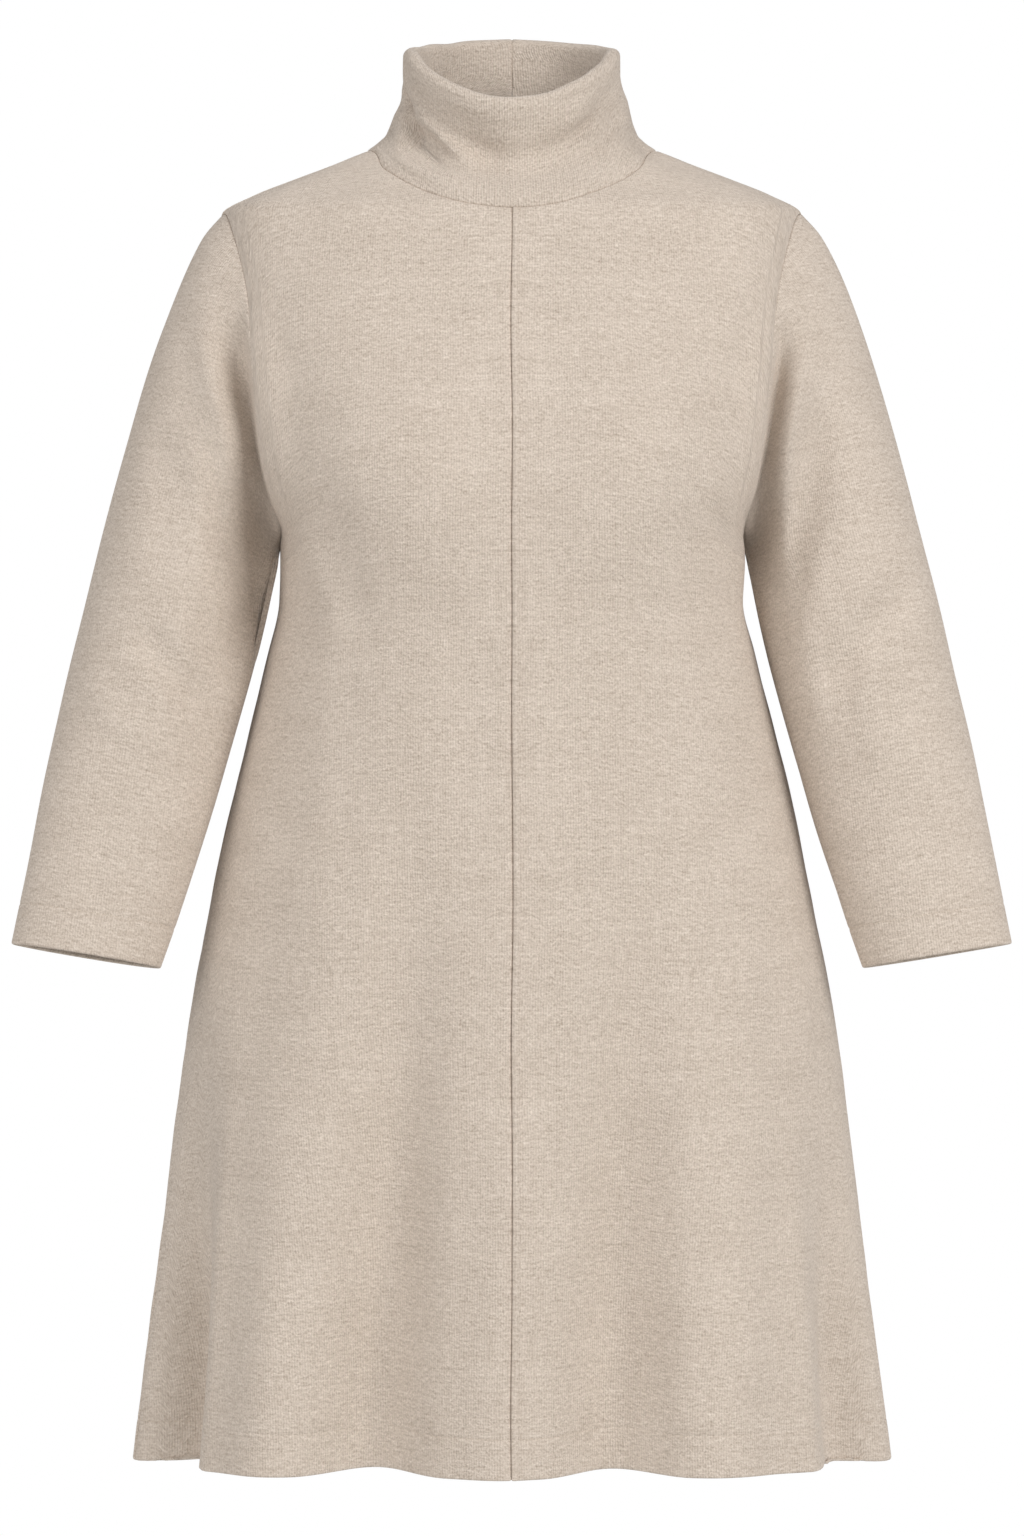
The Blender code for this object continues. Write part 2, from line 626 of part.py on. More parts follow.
def split_cells(points, corners):
    """Two triangles for each cell of a grid of corners, cut along its shorter diagonal."""
    a, b = corners[:-1, :-1].ravel(), corners[:-1, 1:].ravel()
    c, d = corners[1:, 1:].ravel(), corners[1:, :-1].ravel()
    rising = np.linalg.norm(points[c] - points[a], axis=1)
    falling = np.linalg.norm(points[d] - points[b], axis=1)
    short = (rising <= falling)[:, None]
    first = np.where(short, np.stack([a, b, c], axis=1), np.stack([a, b, d], axis=1))
    second = np.where(short, np.stack([a, c, d], axis=1), np.stack([b, c, d], axis=1))
    return np.concatenate([first, second])


def wall_mesh(name, outer, inner, closed):
    """A cloth wall between an outer and an inner grid of points, as one closed mesh."""
    rows, columns = outer.shape[:2]
    points = np.concatenate([outer.reshape(-1, 3), inner.reshape(-1, 3)])
    corners = np.arange(rows * columns).reshape(rows, columns)
    if closed:
        corners = np.concatenate([corners, corners[:, :1]], axis=1)
    offset = rows * columns
    face = split_cells(points, corners)
    edges = [corners[0, ::-1], corners[-1]]
    if not closed:
        edges += [corners[:, 0], corners[::-1, -1]]
    rims = [split_cells(points, np.stack([edge, edge + offset])) for edge in edges]
    triangles = np.concatenate([face, face[:, ::-1] + offset] + rims)
    mesh = bpy.data.meshes.new(name)
    mesh.from_pydata(points.tolist(), [], triangles.tolist())
    tidy = bmesh.new()
    tidy.from_mesh(mesh)
    bmesh.ops.recalc_face_normals(tidy, faces=tidy.faces)
    tidy.to_mesh(mesh)
    tidy.free()
    mesh.shade_smooth()
    mesh.set_sharp_from_angle(angle=np.radians(SHARP_ANGLE))
    return mesh


def middle_way(points, axis, closed=False):
    """At each point of a grid, the way between the two edges meeting there."""
    grid = np.moveaxis(points, axis, 0)
    step = unit(np.diff(np.concatenate([grid, grid[:1]]), axis=0))
    if not closed:
        step[-1] = step[-2]
    before = np.roll(step, 1, axis=0)
    if not closed:
        before[0] = step[0]
    return np.moveaxis(step + before, 0, axis)


def way_in(points, normals, closed=False):
    """Square to the grid at each of its points, on the side away from its normals."""
    square = unit(np.cross(middle_way(points, 1, closed), middle_way(points, 0)))
    return -square * np.sign(np.sum(square * normals))


def mitre(normal, other):
    """Where two walls meet: the way in that both share, long enough for full cloth."""
    middle = unit(normal + other)
    depth = np.maximum(np.sum(middle * normal, axis=-1, keepdims=True), MITRE_FLOOR)
    return -middle / depth


def off_seam(points, inward, towards, closed=False):
    """Half of the seam's gap, square to the seam and to its mitre, on the piece's side."""
    if closed:
        way = np.roll(points, -1, axis=0) - np.roll(points, 1, axis=0)
    else:
        way = np.gradient(points, axis=0)
    square = unit(np.cross(unit(way), unit(inward)))
    sign = np.sign(np.sum(square * towards, axis=-1, keepdims=True))
    return square * sign * SEAM_GAP / 2


class Seams:
    """The points, and the shared way in, of the neck seam and of the two armholes."""

    def __init__(self):
        front = neckline(NECK_FRONT_DROP, NECK_FRONT_COLUMNS, back=False)
        back = neckline(NECK_BACK_DROP, NECK_BACK_COLUMNS // 2, back=True)
        angle, z = joined(front, backwards(back))
        whole = joined((angle, z), backwards((360.0 - angle, z)))
        neck = np.radians(whole[0][:-1]), whole[1][:-1]
        front_turns = np.linspace(0.0, 90.0, NECK_FRONT_COLUMNS + 1)
        back_turns = np.linspace(90.0, 180.0, NECK_BACK_COLUMNS // 2 + 1)
        turns = np.concatenate([front_turns, back_turns[1:]])
        turns = np.concatenate([turns, 360.0 - turns[-2:0:-1]])
        self.neck_turns = np.radians(turns)
        self.neck_points = body_point(*neck)
        self.neck_base = closed_lookup(self.neck_turns, self.neck_points)
        collar = collar_normal(self.neck_turns, 0.0 * self.neck_turns, self.neck_base)
        self.neck_way = mitre(body_normal(*neck), collar)
        half = armhole_turns()
        self.armhole_turns = np.concatenate([half, 2 * np.pi - half[-2:0:-1]])
        self.armholes, self.armhole_ways = {}, {}
        for side in (1, -1):
            points, normals = armhole_loop(side)
            base = closed_lookup(self.armhole_turns, points)
            sleeve = sleeve_normal(self.armhole_turns, 0.0 * self.armhole_turns, side, base)
            self.armholes[side] = base
            self.armhole_ways[side] = mitre(normals, sleeve)


def collar_normal(angle, share, base):
    """Outward normal of the collar's face."""
    return slopes_of(lambda u, v: collar_leg(u, v, base), angle, share, *COLLAR_STEPS)


def sleeve_normal(turn, share, side, base):
    """Outward normal of the sleeve."""
    return side * slopes_of(
        lambda u, v: sleeve_point(u, v, side, base), turn, share, *SLEEVE_STEPS
    )


def cloth_depth(from_edge):
    """Thickness of the cloth at a height above a turned-up edge."""
    return np.where(from_edge < HEM_ALLOWANCE, TURNED_CLOTH, CLOTH)[..., None]


def front_panel(name, side, seams, raised_edge):
    """One front, from the centre seam to the side seam and the armhole."""
    centre = centre_line(0.0, NECK_FRONT_DROP)
    armhole = armhole_line(-ARMHOLE_SCOOP_FRONT, ARMHOLE_POWER_FRONT)
    outer_edge = joined(side_line(), backwards(armhole))
    hem = hem_line(0.0, SIDE_SEAM_ANGLE, NECK_FRONT_COLUMNS + SHOULDER_COLUMNS)
    top = joined(neckline(NECK_FRONT_DROP, NECK_FRONT_COLUMNS, back=False), shoulder_line())
    angle, z = spread_panel(centre, outer_edge, hem, top, ROW_SAG_FRONT)
    angle = angle * side
    outer = body_point(angle, z)
    normal = body_normal(angle, z)
    way = way_in(outer, normal)
    way[:, [0, -1]], way[-1] = -normal[:, [0, -1]], -normal[-1]
    neck = side * np.arange(NECK_FRONT_COLUMNS + 1)
    way[-1, : NECK_FRONT_COLUMNS + 1] = seams.neck_way[neck]
    way[-ARMHOLE_ROWS - 1 :, -1] = seams.armhole_ways[side][ARMHOLE_ROWS::-1]
    inward = way * cloth_depth(z - HEM_Z)
    shift = np.zeros_like(outer)
    shift[:, 0, 0] += side * SEAM_GAP / 2
    shift[:, -1] += off_seam(outer[:, -1], inward[:, -1], outer[:, -2] - outer[:, -1])
    shift[-1] += off_seam(outer[-1], inward[-1], outer[-2] - outer[-1])
    outer = outer + shift
    inner = outer + inward
    if raised_edge:
        outer, inner = with_raised_edge(outer, inner)
    return wall_mesh(name, outer, inner, closed=False)


def with_raised_edge(outer, inner):
    """Two more columns beside the centre seam, so that its edge stands up outside."""
    width = np.linalg.norm(outer[:, 1] - outer[:, 0], axis=-1, keepdims=True)
    grids = []
    for grid in (outer, inner):
        step = (grid[:, 1] - grid[:, 0]) / width
        reach = (EDGE_FOLD_WIDTH, EDGE_FOLD_WIDTH + EDGE_FOLD_SLOPE)
        extra = [grid[:, 0] + step * far for far in reach]
        grids.append(np.concatenate([grid[:, :1], np.stack(extra, axis=1), grid[:, 1:]], axis=1))
    outer, inner = grids
    outer[:, :2] += unit(outer[:, :2] - inner[:, :2]) * EDGE_FOLD_HEIGHT
    return outer, inner


def back_panel(name, seams):
    """The back in one piece, from the wearer's left side round to the right."""
    edge = joined(side_line(), backwards(armhole_line(ARMHOLE_SCOOP_BACK, ARMHOLE_POWER_BACK)))
    neck_half = neckline(NECK_BACK_DROP, NECK_BACK_COLUMNS // 2, back=True)
    top = joined(neck_half, shoulder_line())
    hem = hem_line(180.0, SIDE_SEAM_ANGLE, SHOULDER_COLUMNS + NECK_BACK_COLUMNS // 2)
    centre = centre_line(180.0, NECK_BACK_DROP)
    angle, z = spread_panel(centre, edge, hem, top, ROW_SAG_BACK)
    angle = np.concatenate([angle[:, ::-1], 2 * np.pi - angle[:, 1:]], axis=1)
    z = np.concatenate([z[:, ::-1], z[:, 1:]], axis=1)
    outer = body_point(angle, z)
    normal = body_normal(angle, z)
    way = way_in(outer, normal)
    way[:, [0, -1]], way[-1] = -normal[:, [0, -1]], -normal[-1]
    first = NECK_FRONT_COLUMNS
    neck = np.arange(first, first + NECK_BACK_COLUMNS + 1)
    way[-1, SHOULDER_COLUMNS : SHOULDER_COLUMNS + NECK_BACK_COLUMNS + 1] = seams.neck_way[neck]
    loop = np.arange(ARMHOLE_ROWS, 2 * ARMHOLE_ROWS + 1) % (2 * ARMHOLE_ROWS)
    way[-ARMHOLE_ROWS - 1 :, 0] = seams.armhole_ways[1][loop]
    way[-ARMHOLE_ROWS - 1 :, -1] = seams.armhole_ways[-1][loop]
    inward = way * cloth_depth(z - HEM_Z)
    shift = np.zeros_like(outer)
    shift[:, 0] += off_seam(outer[:, 0], inward[:, 0], outer[:, 1] - outer[:, 0])
    shift[:, -1] += off_seam(outer[:, -1], inward[:, -1], outer[:, -2] - outer[:, -1])
    shift[-1] += off_seam(outer[-1], inward[-1], outer[-2] - outer[-1])
    outer = outer + shift
    return wall_mesh(name, outer, outer + inward, closed=False)


def sleeve(name, side, seams):
    """One sleeve, a tube from its armhole to its stitched cuff."""
    length = np.sum(np.linalg.norm(np.diff(SLEEVE_OUTER, axis=0), axis=1))
    arm = 1.0 - SLEEVE_CAP_SHARE
    end = row_of_run(1.0 - HEM_ALLOWANCE / length)
    step = row_of_run(1.0 - (HEM_ALLOWANCE + TURN_STEP) / length)
    rows = np.concatenate(
        [
            np.linspace(0.0, SLEEVE_CAP_SHARE, SLEEVE_CAP_ROWS + 1),
            np.linspace(SLEEVE_CAP_SHARE, step, SLEEVE_ARM_ROWS + 1)[1:],
            [end, 1.0],
        ]
    )
    turn, share = np.meshgrid(seams.armhole_turns, rows)
    outer = sleeve_point(turn, share, side, seams.armholes[side])
    way = way_in(outer, sleeve_normal(turn, share, side, seams.armholes[side]), closed=True)
    way[0] = seams.armhole_ways[side]
    depth = np.where(share > (end + step) / 2, TURNED_CLOTH, CLOTH)[..., None]
    inward = way * depth
    outer[0] += off_seam(outer[0], inward[0], outer[SEAM_SIDE_ROW] - outer[0], closed=True)
    return wall_mesh(name, outer, outer + inward, closed=True)


def row_of_run(run):
    """The share of the sleeve's rows that lies at a share of its outer line's length."""
    fine = np.linspace(0.0, 1.0, FINE_STEPS)
    return float(np.interp(run, sleeve_row(fine, "outer_run"), fine))


def collar(name, seams):
    """The collar: face up to the rim, a rolled edge, and the lining back down inside."""
    leg = np.linspace(0.0, 1.0, COLLAR_LEG_ROWS + 1)
    turn, share = np.meshgrid(seams.neck_turns, leg)
    face = collar_leg(turn, share, seams.neck_base)
    face_normal = collar_normal(turn, share, seams.neck_base)
    rim, out = face[-1], face_normal[-1]
    rising = unit(face[-1] - face[-2])
    rising = unit(rising - out * np.sum(rising * out, axis=-1, keepdims=True))
    rows, normals = [face], [face_normal]
    for bend in np.linspace(0.0, np.pi, COLLAR_ROLL_ROWS + 2)[1:-1]:
        normal = out * np.cos(bend) + rising * np.sin(bend)
        rows.append((rim - out * ROLL_RADIUS + normal * ROLL_RADIUS)[None])
        normals.append(normal[None])
    down = np.linspace(1.0, LINING_END, COLLAR_LINING_ROWS + 1)
    turn, share = np.meshgrid(seams.neck_turns, down)
    gap = LINING_GAP + (2 * ROLL_RADIUS - LINING_GAP) * share
    normal = collar_normal(turn, share, seams.neck_base)
    normal[0] = out
    rows.append(collar_leg(turn, share, seams.neck_base) - normal * gap[..., None])
    normals.append(-normal)
    outer, way = np.concatenate(rows), -np.concatenate(normals)
    way[0] = seams.neck_way
    inward = way * CLOTH
    outer[0] += off_seam(outer[0], inward[0], outer[1] - outer[0], closed=True)
    return wall_mesh(name, outer, outer + inward, closed=True)


def cloth_material(name):
    """The knit, a plain soft cloth colour."""
    material = bpy.data.materials.new(name)
    material.use_nodes = True
    shader = material.node_tree.nodes["Principled BSDF"]
    shader.inputs["Base Color"].default_value = KNIT_COLOUR
    shader.inputs["Roughness"].default_value = KNIT_ROUGHNESS
    shader.inputs["Metallic"].default_value = 0.0
    return material


def clear_scene():
    """Remove whatever the file opens with."""
    for item in list(bpy.data.objects):
        bpy.data.objects.remove(item)


def main():
    """Build the six pieces in a collection of their own."""
    clear_scene()
    dress = bpy.data.collections.new("tunic_dress")
    bpy.context.scene.collection.children.link(dress)
    seams = Seams()
    meshes = (
        front_panel("front_left", 1, seams, raised_edge=True),
        front_panel("front_right", -1, seams, raised_edge=False),
        back_panel("back", seams),
        sleeve("sleeve_left", 1, seams),
        sleeve("sleeve_right", -1, seams),
        collar("collar", seams),
    )
    for mesh in meshes:
        mesh.materials.append(cloth_material(mesh.name + "_knit"))
        dress.objects.link(bpy.data.objects.new(mesh.name, mesh))


main()
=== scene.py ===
"""Tunic dress in a brushed oatmeal knit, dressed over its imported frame.

Six cut pieces, each a thin cloth wall with its seam edges rolled in and its hems turned
up: two fronts, the back, two set-in sleeves and a double collar with a rolled rim.

Metres, +Z up, the front faces -Y and the wearer's left is +X. An angle round the body
starts at the centre front and grows towards +X.
"""

import logging
import math
from collections.abc import Callable
from dataclasses import dataclass, field
from enum import Enum

import bpy
import numpy as np
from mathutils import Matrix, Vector


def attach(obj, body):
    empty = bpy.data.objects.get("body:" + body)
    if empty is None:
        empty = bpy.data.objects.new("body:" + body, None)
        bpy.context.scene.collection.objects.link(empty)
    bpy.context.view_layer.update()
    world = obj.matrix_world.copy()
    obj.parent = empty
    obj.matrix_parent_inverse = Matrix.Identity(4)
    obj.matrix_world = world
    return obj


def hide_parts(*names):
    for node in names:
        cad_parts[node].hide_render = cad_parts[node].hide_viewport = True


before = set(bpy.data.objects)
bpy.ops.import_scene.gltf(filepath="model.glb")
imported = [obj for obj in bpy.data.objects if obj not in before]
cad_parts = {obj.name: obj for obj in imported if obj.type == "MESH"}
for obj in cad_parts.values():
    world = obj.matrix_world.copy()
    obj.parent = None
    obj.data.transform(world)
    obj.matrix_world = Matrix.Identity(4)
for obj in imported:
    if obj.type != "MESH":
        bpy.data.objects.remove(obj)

log = logging.getLogger("tunic_dress")

Array = np.ndarray
Line = tuple[tuple[float, float], ...]
Surface = Callable[[Array, Array], Array]

CLOTH = 0.0013
HEM_Z = -0.914
HEM_ALLOWANCE = 0.028
KNIT_COORDINATES = "KnitMetres"
SAG_PEAK = 27 / 4  # makes the highest value of s * s * (1 - s) equal to 1
SNAP = 1e-7  # rows and columns nearer than this are the same


class Side(Enum):
    """The wearer's left or right, as the sign of X."""

    LEFT = 1
    RIGHT = -1


class Face(Enum):
    """The half of the body or of a sleeve that a fold lies on."""

    FRONT = "front"
    BACK = "back"


def smoothstep(value: Array | float) -> Array:
    """0 up to 0, 1 from 1 on, and a smooth rise between."""
    value = np.clip(value, 0.0, 1.0)
    return value * value * (3.0 - 2.0 * value)


def bump(distance: Array) -> Array:
    """1 in the middle, falling smoothly to 0 at a distance of 1."""
    return 0.5 + 0.5 * np.cos(np.pi * np.clip(np.abs(distance), 0.0, 1.0))


def unit(vectors: Array) -> Array:
    """The same directions with a length of 1."""
    length = np.linalg.norm(vectors, axis=-1, keepdims=True)
    return vectors / np.maximum(length, 1e-12)


def glide(knots: Array, values: Array, at: Array) -> Array:
    """Run a smooth curve through values, with no overshoot between them.

    Args:
        knots: Rising places of the values.
        values: One value for each knot.
        at: Places to read the curve at.

    Returns:
        The curve's value at each place.
    """
    knots, values = np.asarray(knots, float), np.asarray(values, float)
    step = np.diff(knots)
    rise = np.diff(values) / step
    slope = np.zeros_like(values)
    slope[0], slope[-1] = rise[0], rise[-1]
    turning = rise[:-1] * rise[1:] <= 0
    total = np.where(turning, 1.0, rise[:-1] + rise[1:])
    slope[1:-1] = np.where(turning, 0.0, 2.0 * rise[:-1] * rise[1:] / total)
    span = np.clip(np.searchsorted(knots, at, side="right") - 1, 0, len(step) - 1)
    u = np.clip((at - knots[span]) / step[span], 0.0, 1.0)
    hold, reach = (1 + 2 * u) * (1 - u) ** 2, u * u * (3 - 2 * u)
    leave, arrive = u * (1 - u) ** 2, u * u * (u - 1)
    ends = hold * values[span] + reach * values[span + 1]
    return ends + step[span] * (leave * slope[span] + arrive * slope[span + 1])


def column(table: tuple, name: str) -> Array:
    """One named column of a table of records."""
    return np.array([getattr(row, name) for row in table])


def read_table(table: tuple, key: str, name: str, at: Array) -> Array:
    """A table's named column, read smoothly at places along its rising key column."""
    return glide(column(table, key), column(table, name), at)


def squared_reach(turn: Array, power: Array) -> Array:
    """Reach of a squared oval at each turn, where a power of 2 gives a plain oval."""
    sine, cosine = np.sin(turn), np.cos(turn)
    return (np.abs(sine) ** power + np.abs(cosine) ** power) ** (-1.0 / power)


def add_object(name: str, data: bpy.types.ID) -> bpy.types.Object:
    """Put a mesh, a lamp or a camera into the scene."""
    item = bpy.data.objects.new(name, data)
    bpy.context.scene.collection.objects.link(item)
    return item


def run_lengths(points: Array) -> Array:
    """Distance along a line of points, from 0 at its first."""
    steps = np.linalg.norm(np.diff(points, axis=0), axis=-1)
    return np.concatenate([np.zeros((1,) + steps.shape[1:]), np.cumsum(steps, axis=0)])


def along(line: Line, run: Array) -> Array:
    """Find points on a smoothly bent line.

    Args:
        line: Points that the line passes through.
        run: Shares of its length.

    Returns:
        The point at each share.
    """
    points = np.array(line)
    length = run_lengths(points)
    at = np.clip(run, 0.0, 1.0) * length[-1]
    return np.stack([glide(length, points[:, k], at) for k in (0, 1)], axis=-1)


def beside_line(x: Array, z: Array, line: Line) -> tuple[Array, Array]:
    """Measure points against a line that runs downwards.

    Args:
        x: Places across.
        z: Heights.
        line: (x, z) points of the line, the highest first.

    Returns:
        How far each point lies beside the line, and its share of the way down.
    """
    across, heights = np.array(line).T
    middle = glide(heights[::-1], across[::-1], z)
    return x - middle, np.clip((heights[0] - z) / (heights[0] - heights[-1]), 0.0, 1.0)


def near_line(x: Array, y: Array, line: Line) -> tuple[Array, Array]:
    """Measure points against a smoothly bent line in any direction.

    Args:
        x: Places across.
        y: Places up.
        line: (x, y) points of the line.

    Returns:
        Signed distance, positive on the line's left, and the share of the line passed.
    """
    points = along(line, np.linspace(0.0, 1.0, 25))
    run = run_lengths(points)
    best, passed = np.full(np.shape(x), np.inf), np.zeros(np.shape(x))
    for index in range(len(points) - 1):
        length = run[index + 1] - run[index]
        way = (points[index + 1] - points[index]) / length
        dx, dy = x - points[index, 0], y - points[index, 1]
        far_along = np.clip(dx * way[0] + dy * way[1], 0.0, length)
        far = np.hypot(dx - far_along * way[0], dy - far_along * way[1])
        side = np.where(way[0] * dy - way[1] * dx >= 0, 1.0, -1.0)
        closer = far < np.abs(best)
        best = np.where(closer, far * side, best)
        passed = np.where(closer, (run[index] + far_along) / run[-1], passed)
    return best, passed


def ripple(u: Array, v: Array, wavelength: float, seed: int, stretch: float = 1.0) -> Array:
    """Make soft uneven waves with heights of about -1 to 1.

    Args:
        u: Metres across.
        v: Metres up.
        wavelength: Typical length of a wave, in metres.
        seed: Number that fixes the waves.
        stretch: How many times longer the waves are upwards than across.

    Returns:
        The height at each point.
    """
    rng = np.random.default_rng(seed)
    total = np.zeros(np.shape(u))
    for _ in range(10):
        turn, phase, size = rng.uniform(0, np.pi), rng.uniform(0, 2 * np.pi), rng.uniform(0.7, 1.5)
        number = 2 * np.pi / (wavelength * size)
        total = total + np.cos(number * (u * np.cos(turn) + v / stretch * np.sin(turn)) + phase)
    return total / 4.5


def slopes_of(surface: Surface, u: Array, v: Array, steps: tuple[float, float]) -> Array:
    """Find a surface's normals from small steps in both of its directions.

    Args:
        surface: Gives the points at two coordinates.
        u: First coordinates.
        v: Second coordinates.
        steps: Half steps along the two.

    Returns:
        The unit normal at each point.
    """
    across = surface(u + steps[0], v) - surface(u - steps[0], v)
    upward = surface(u, v + steps[1]) - surface(u, v - steps[1])
    return unit(np.cross(across, upward))


@dataclass(frozen=True)
class Waves:
    """Soft uneven waves of the cloth, with sizes in metres."""

    seed: int
    wavelength: float
    height: float
    stretch: float = 1.0

    def at(self, u: Array, v: Array) -> Array:
        """Height of the waves at metres across and up."""
        return self.height * ripple(u, v, self.wavelength, self.seed, self.stretch)


@dataclass(frozen=True)
class Girth:
    """One ring of the body."""

    z: float
    half_width: float
    front_depth: float
    back_depth: float
    squareness: float


@dataclass(frozen=True)
class Fold:
    """A hanging fold. A width is half its breadth; a depth below zero is a valley."""

    face: Face
    start: tuple[float, float]
    end: tuple[float, float]
    start_width: float
    end_width: float
    depth: float
    end_share: float = 1.0


@dataclass(frozen=True)
class Swell:
    """A broad soft rise of the body's cloth."""

    face: Face
    x: float
    z: float
    half_width: float
    half_height: float
    height: float


@dataclass(frozen=True)
class Crease:
    """A soft trough or ridge along a line. An overlap lays one of its sides on the other."""

    face: Face
    line: Line
    width: float
    depth: float
    overlap: float = 0.0
    overlap_share: float = 0.16

    def push(self, x: Array, y: Array, fade: float = 0.28) -> Array:
        """Find how far the crease moves the cloth out.

        Args:
            x: Places across, in the line's own measure.
            y: Places up, in the line's own measure.
            fade: Share of the line over which each end dies away.

        Returns:
            Outward movement in metres at each point.
        """
        low, high = np.min(self.line, axis=0) - self.width, np.max(self.line, axis=0) + self.width
        near = (x > low[0]) & (x < high[0]) & (y > low[1]) & (y < high[1])
        pushed = np.zeros(np.shape(x))
        away, passed = near_line(x[near], y[near], self.line)
        ends = smoothstep(passed / fade) * smoothstep((1.0 - passed) / fade)
        reach = bump(away / self.width)
        step = np.tanh(away / (self.overlap_share * self.width)) * reach * self.overlap
        pushed[near] = (self.depth * reach + step) * ends
        return pushed


GIRTHS = (
    Girth(0.006, 0.0900, 0.0100, 0.0120, 2.3),
    Girth(0.000, 0.1010, 0.0250, 0.0300, 2.3),
    Girth(-0.004, 0.1109, 0.0318, 0.0440, 2.3),
    Girth(-0.010, 0.1250, 0.0408, 0.0580, 2.3),
    Girth(-0.021, 0.1535, 0.0537, 0.0700, 2.3),
    Girth(-0.032, 0.1808, 0.0646, 0.0759, 2.3),
    Girth(-0.045, 0.2027, 0.0770, 0.0811, 2.35),
    Girth(-0.080, 0.2080, 0.0900, 0.0920, 2.4),
    Girth(-0.120, 0.2100, 0.1020, 0.1000, 2.4),
    Girth(-0.160, 0.2060, 0.1135, 0.1040, 2.4),
    Girth(-0.200, 0.1960, 0.1240, 0.1050, 2.4),
    Girth(-0.240, 0.1780, 0.1310, 0.1035, 2.4),
    Girth(-0.275, 0.1610, 0.1325, 0.1010, 2.4),
    Girth(-0.315, 0.1617, 0.1300, 0.0985, 2.35),
    Girth(-0.350, 0.1698, 0.1285, 0.0980, 2.3),
    Girth(-0.400, 0.1820, 0.1275, 0.0985, 2.3),
    Girth(-0.500, 0.2054, 0.1270, 0.1080, 2.3),
    Girth(-0.600, 0.2244, 0.1255, 0.1200, 2.3),
    Girth(-0.700, 0.2382, 0.1240, 0.1280, 2.3),
    Girth(-0.800, 0.2506, 0.1220, 0.1335, 2.3),
    Girth(-0.914, 0.2650, 0.1200, 0.1380, 2.3),
)

BODY_FOLDS = (
    Fold(Face.FRONT, (-0.055, -0.360), (-0.097, -0.914), 0.034, 0.052, -0.030),
    Fold(Face.FRONT, (0.088, -0.350), (0.071, -0.914), 0.034, 0.050, -0.027),
    Fold(Face.FRONT, (0.008, -0.440), (-0.008, -0.914), 0.045, 0.052, 0.014),
    Fold(Face.FRONT, (-0.130, -0.480), (-0.168, -0.914), 0.040, 0.045, 0.015),
    Fold(Face.FRONT, (0.145, -0.480), (0.142, -0.914), 0.040, 0.047, 0.013),
    Fold(Face.FRONT, (-0.205, -0.560), (-0.244, -0.914), 0.020, 0.034, -0.040),
    Fold(Face.FRONT, (0.205, -0.600), (0.242, -0.914), 0.022, 0.036, -0.030),
    Fold(Face.FRONT, (-0.150, -0.235), (-0.128, -0.325), 0.016, 0.020, 0.005, 0.2),
    Fold(Face.FRONT, (0.140, -0.225), (0.164, -0.315), 0.016, 0.020, 0.005, 0.2),
    Fold(Face.BACK, (-0.110, -0.420), (-0.142, -0.914), 0.034, 0.050, -0.026),
    Fold(Face.BACK, (0.020, -0.380), (0.012, -0.914), 0.034, 0.052, -0.029),
    Fold(Face.BACK, (0.120, -0.450), (0.150, -0.914), 0.032, 0.048, -0.024),
    Fold(Face.BACK, (-0.050, -0.480), (-0.066, -0.914), 0.038, 0.046, 0.013),
    Fold(Face.BACK, (0.072, -0.500), (0.084, -0.914), 0.038, 0.046, 0.014),
    Fold(Face.BACK, (-0.175, -0.560), (-0.205, -0.914), 0.032, 0.038, 0.012),
    Fold(Face.BACK, (0.180, -0.540), (0.212, -0.914), 0.032, 0.038, 0.011),
    Fold(Face.BACK, (-0.010, -0.150), (0.014, -0.330), 0.040, 0.048, -0.006, 0.2),
)
BODY_SWELLS = (
    Swell(Face.FRONT, -0.084, -0.225, 0.085, 0.115, 0.010),
    Swell(Face.FRONT, 0.084, -0.225, 0.085, 0.115, 0.010),
    Swell(Face.BACK, -0.082, -0.110, 0.080, 0.090, 0.007),
    Swell(Face.BACK, 0.082, -0.110, 0.080, 0.090, 0.007),
)
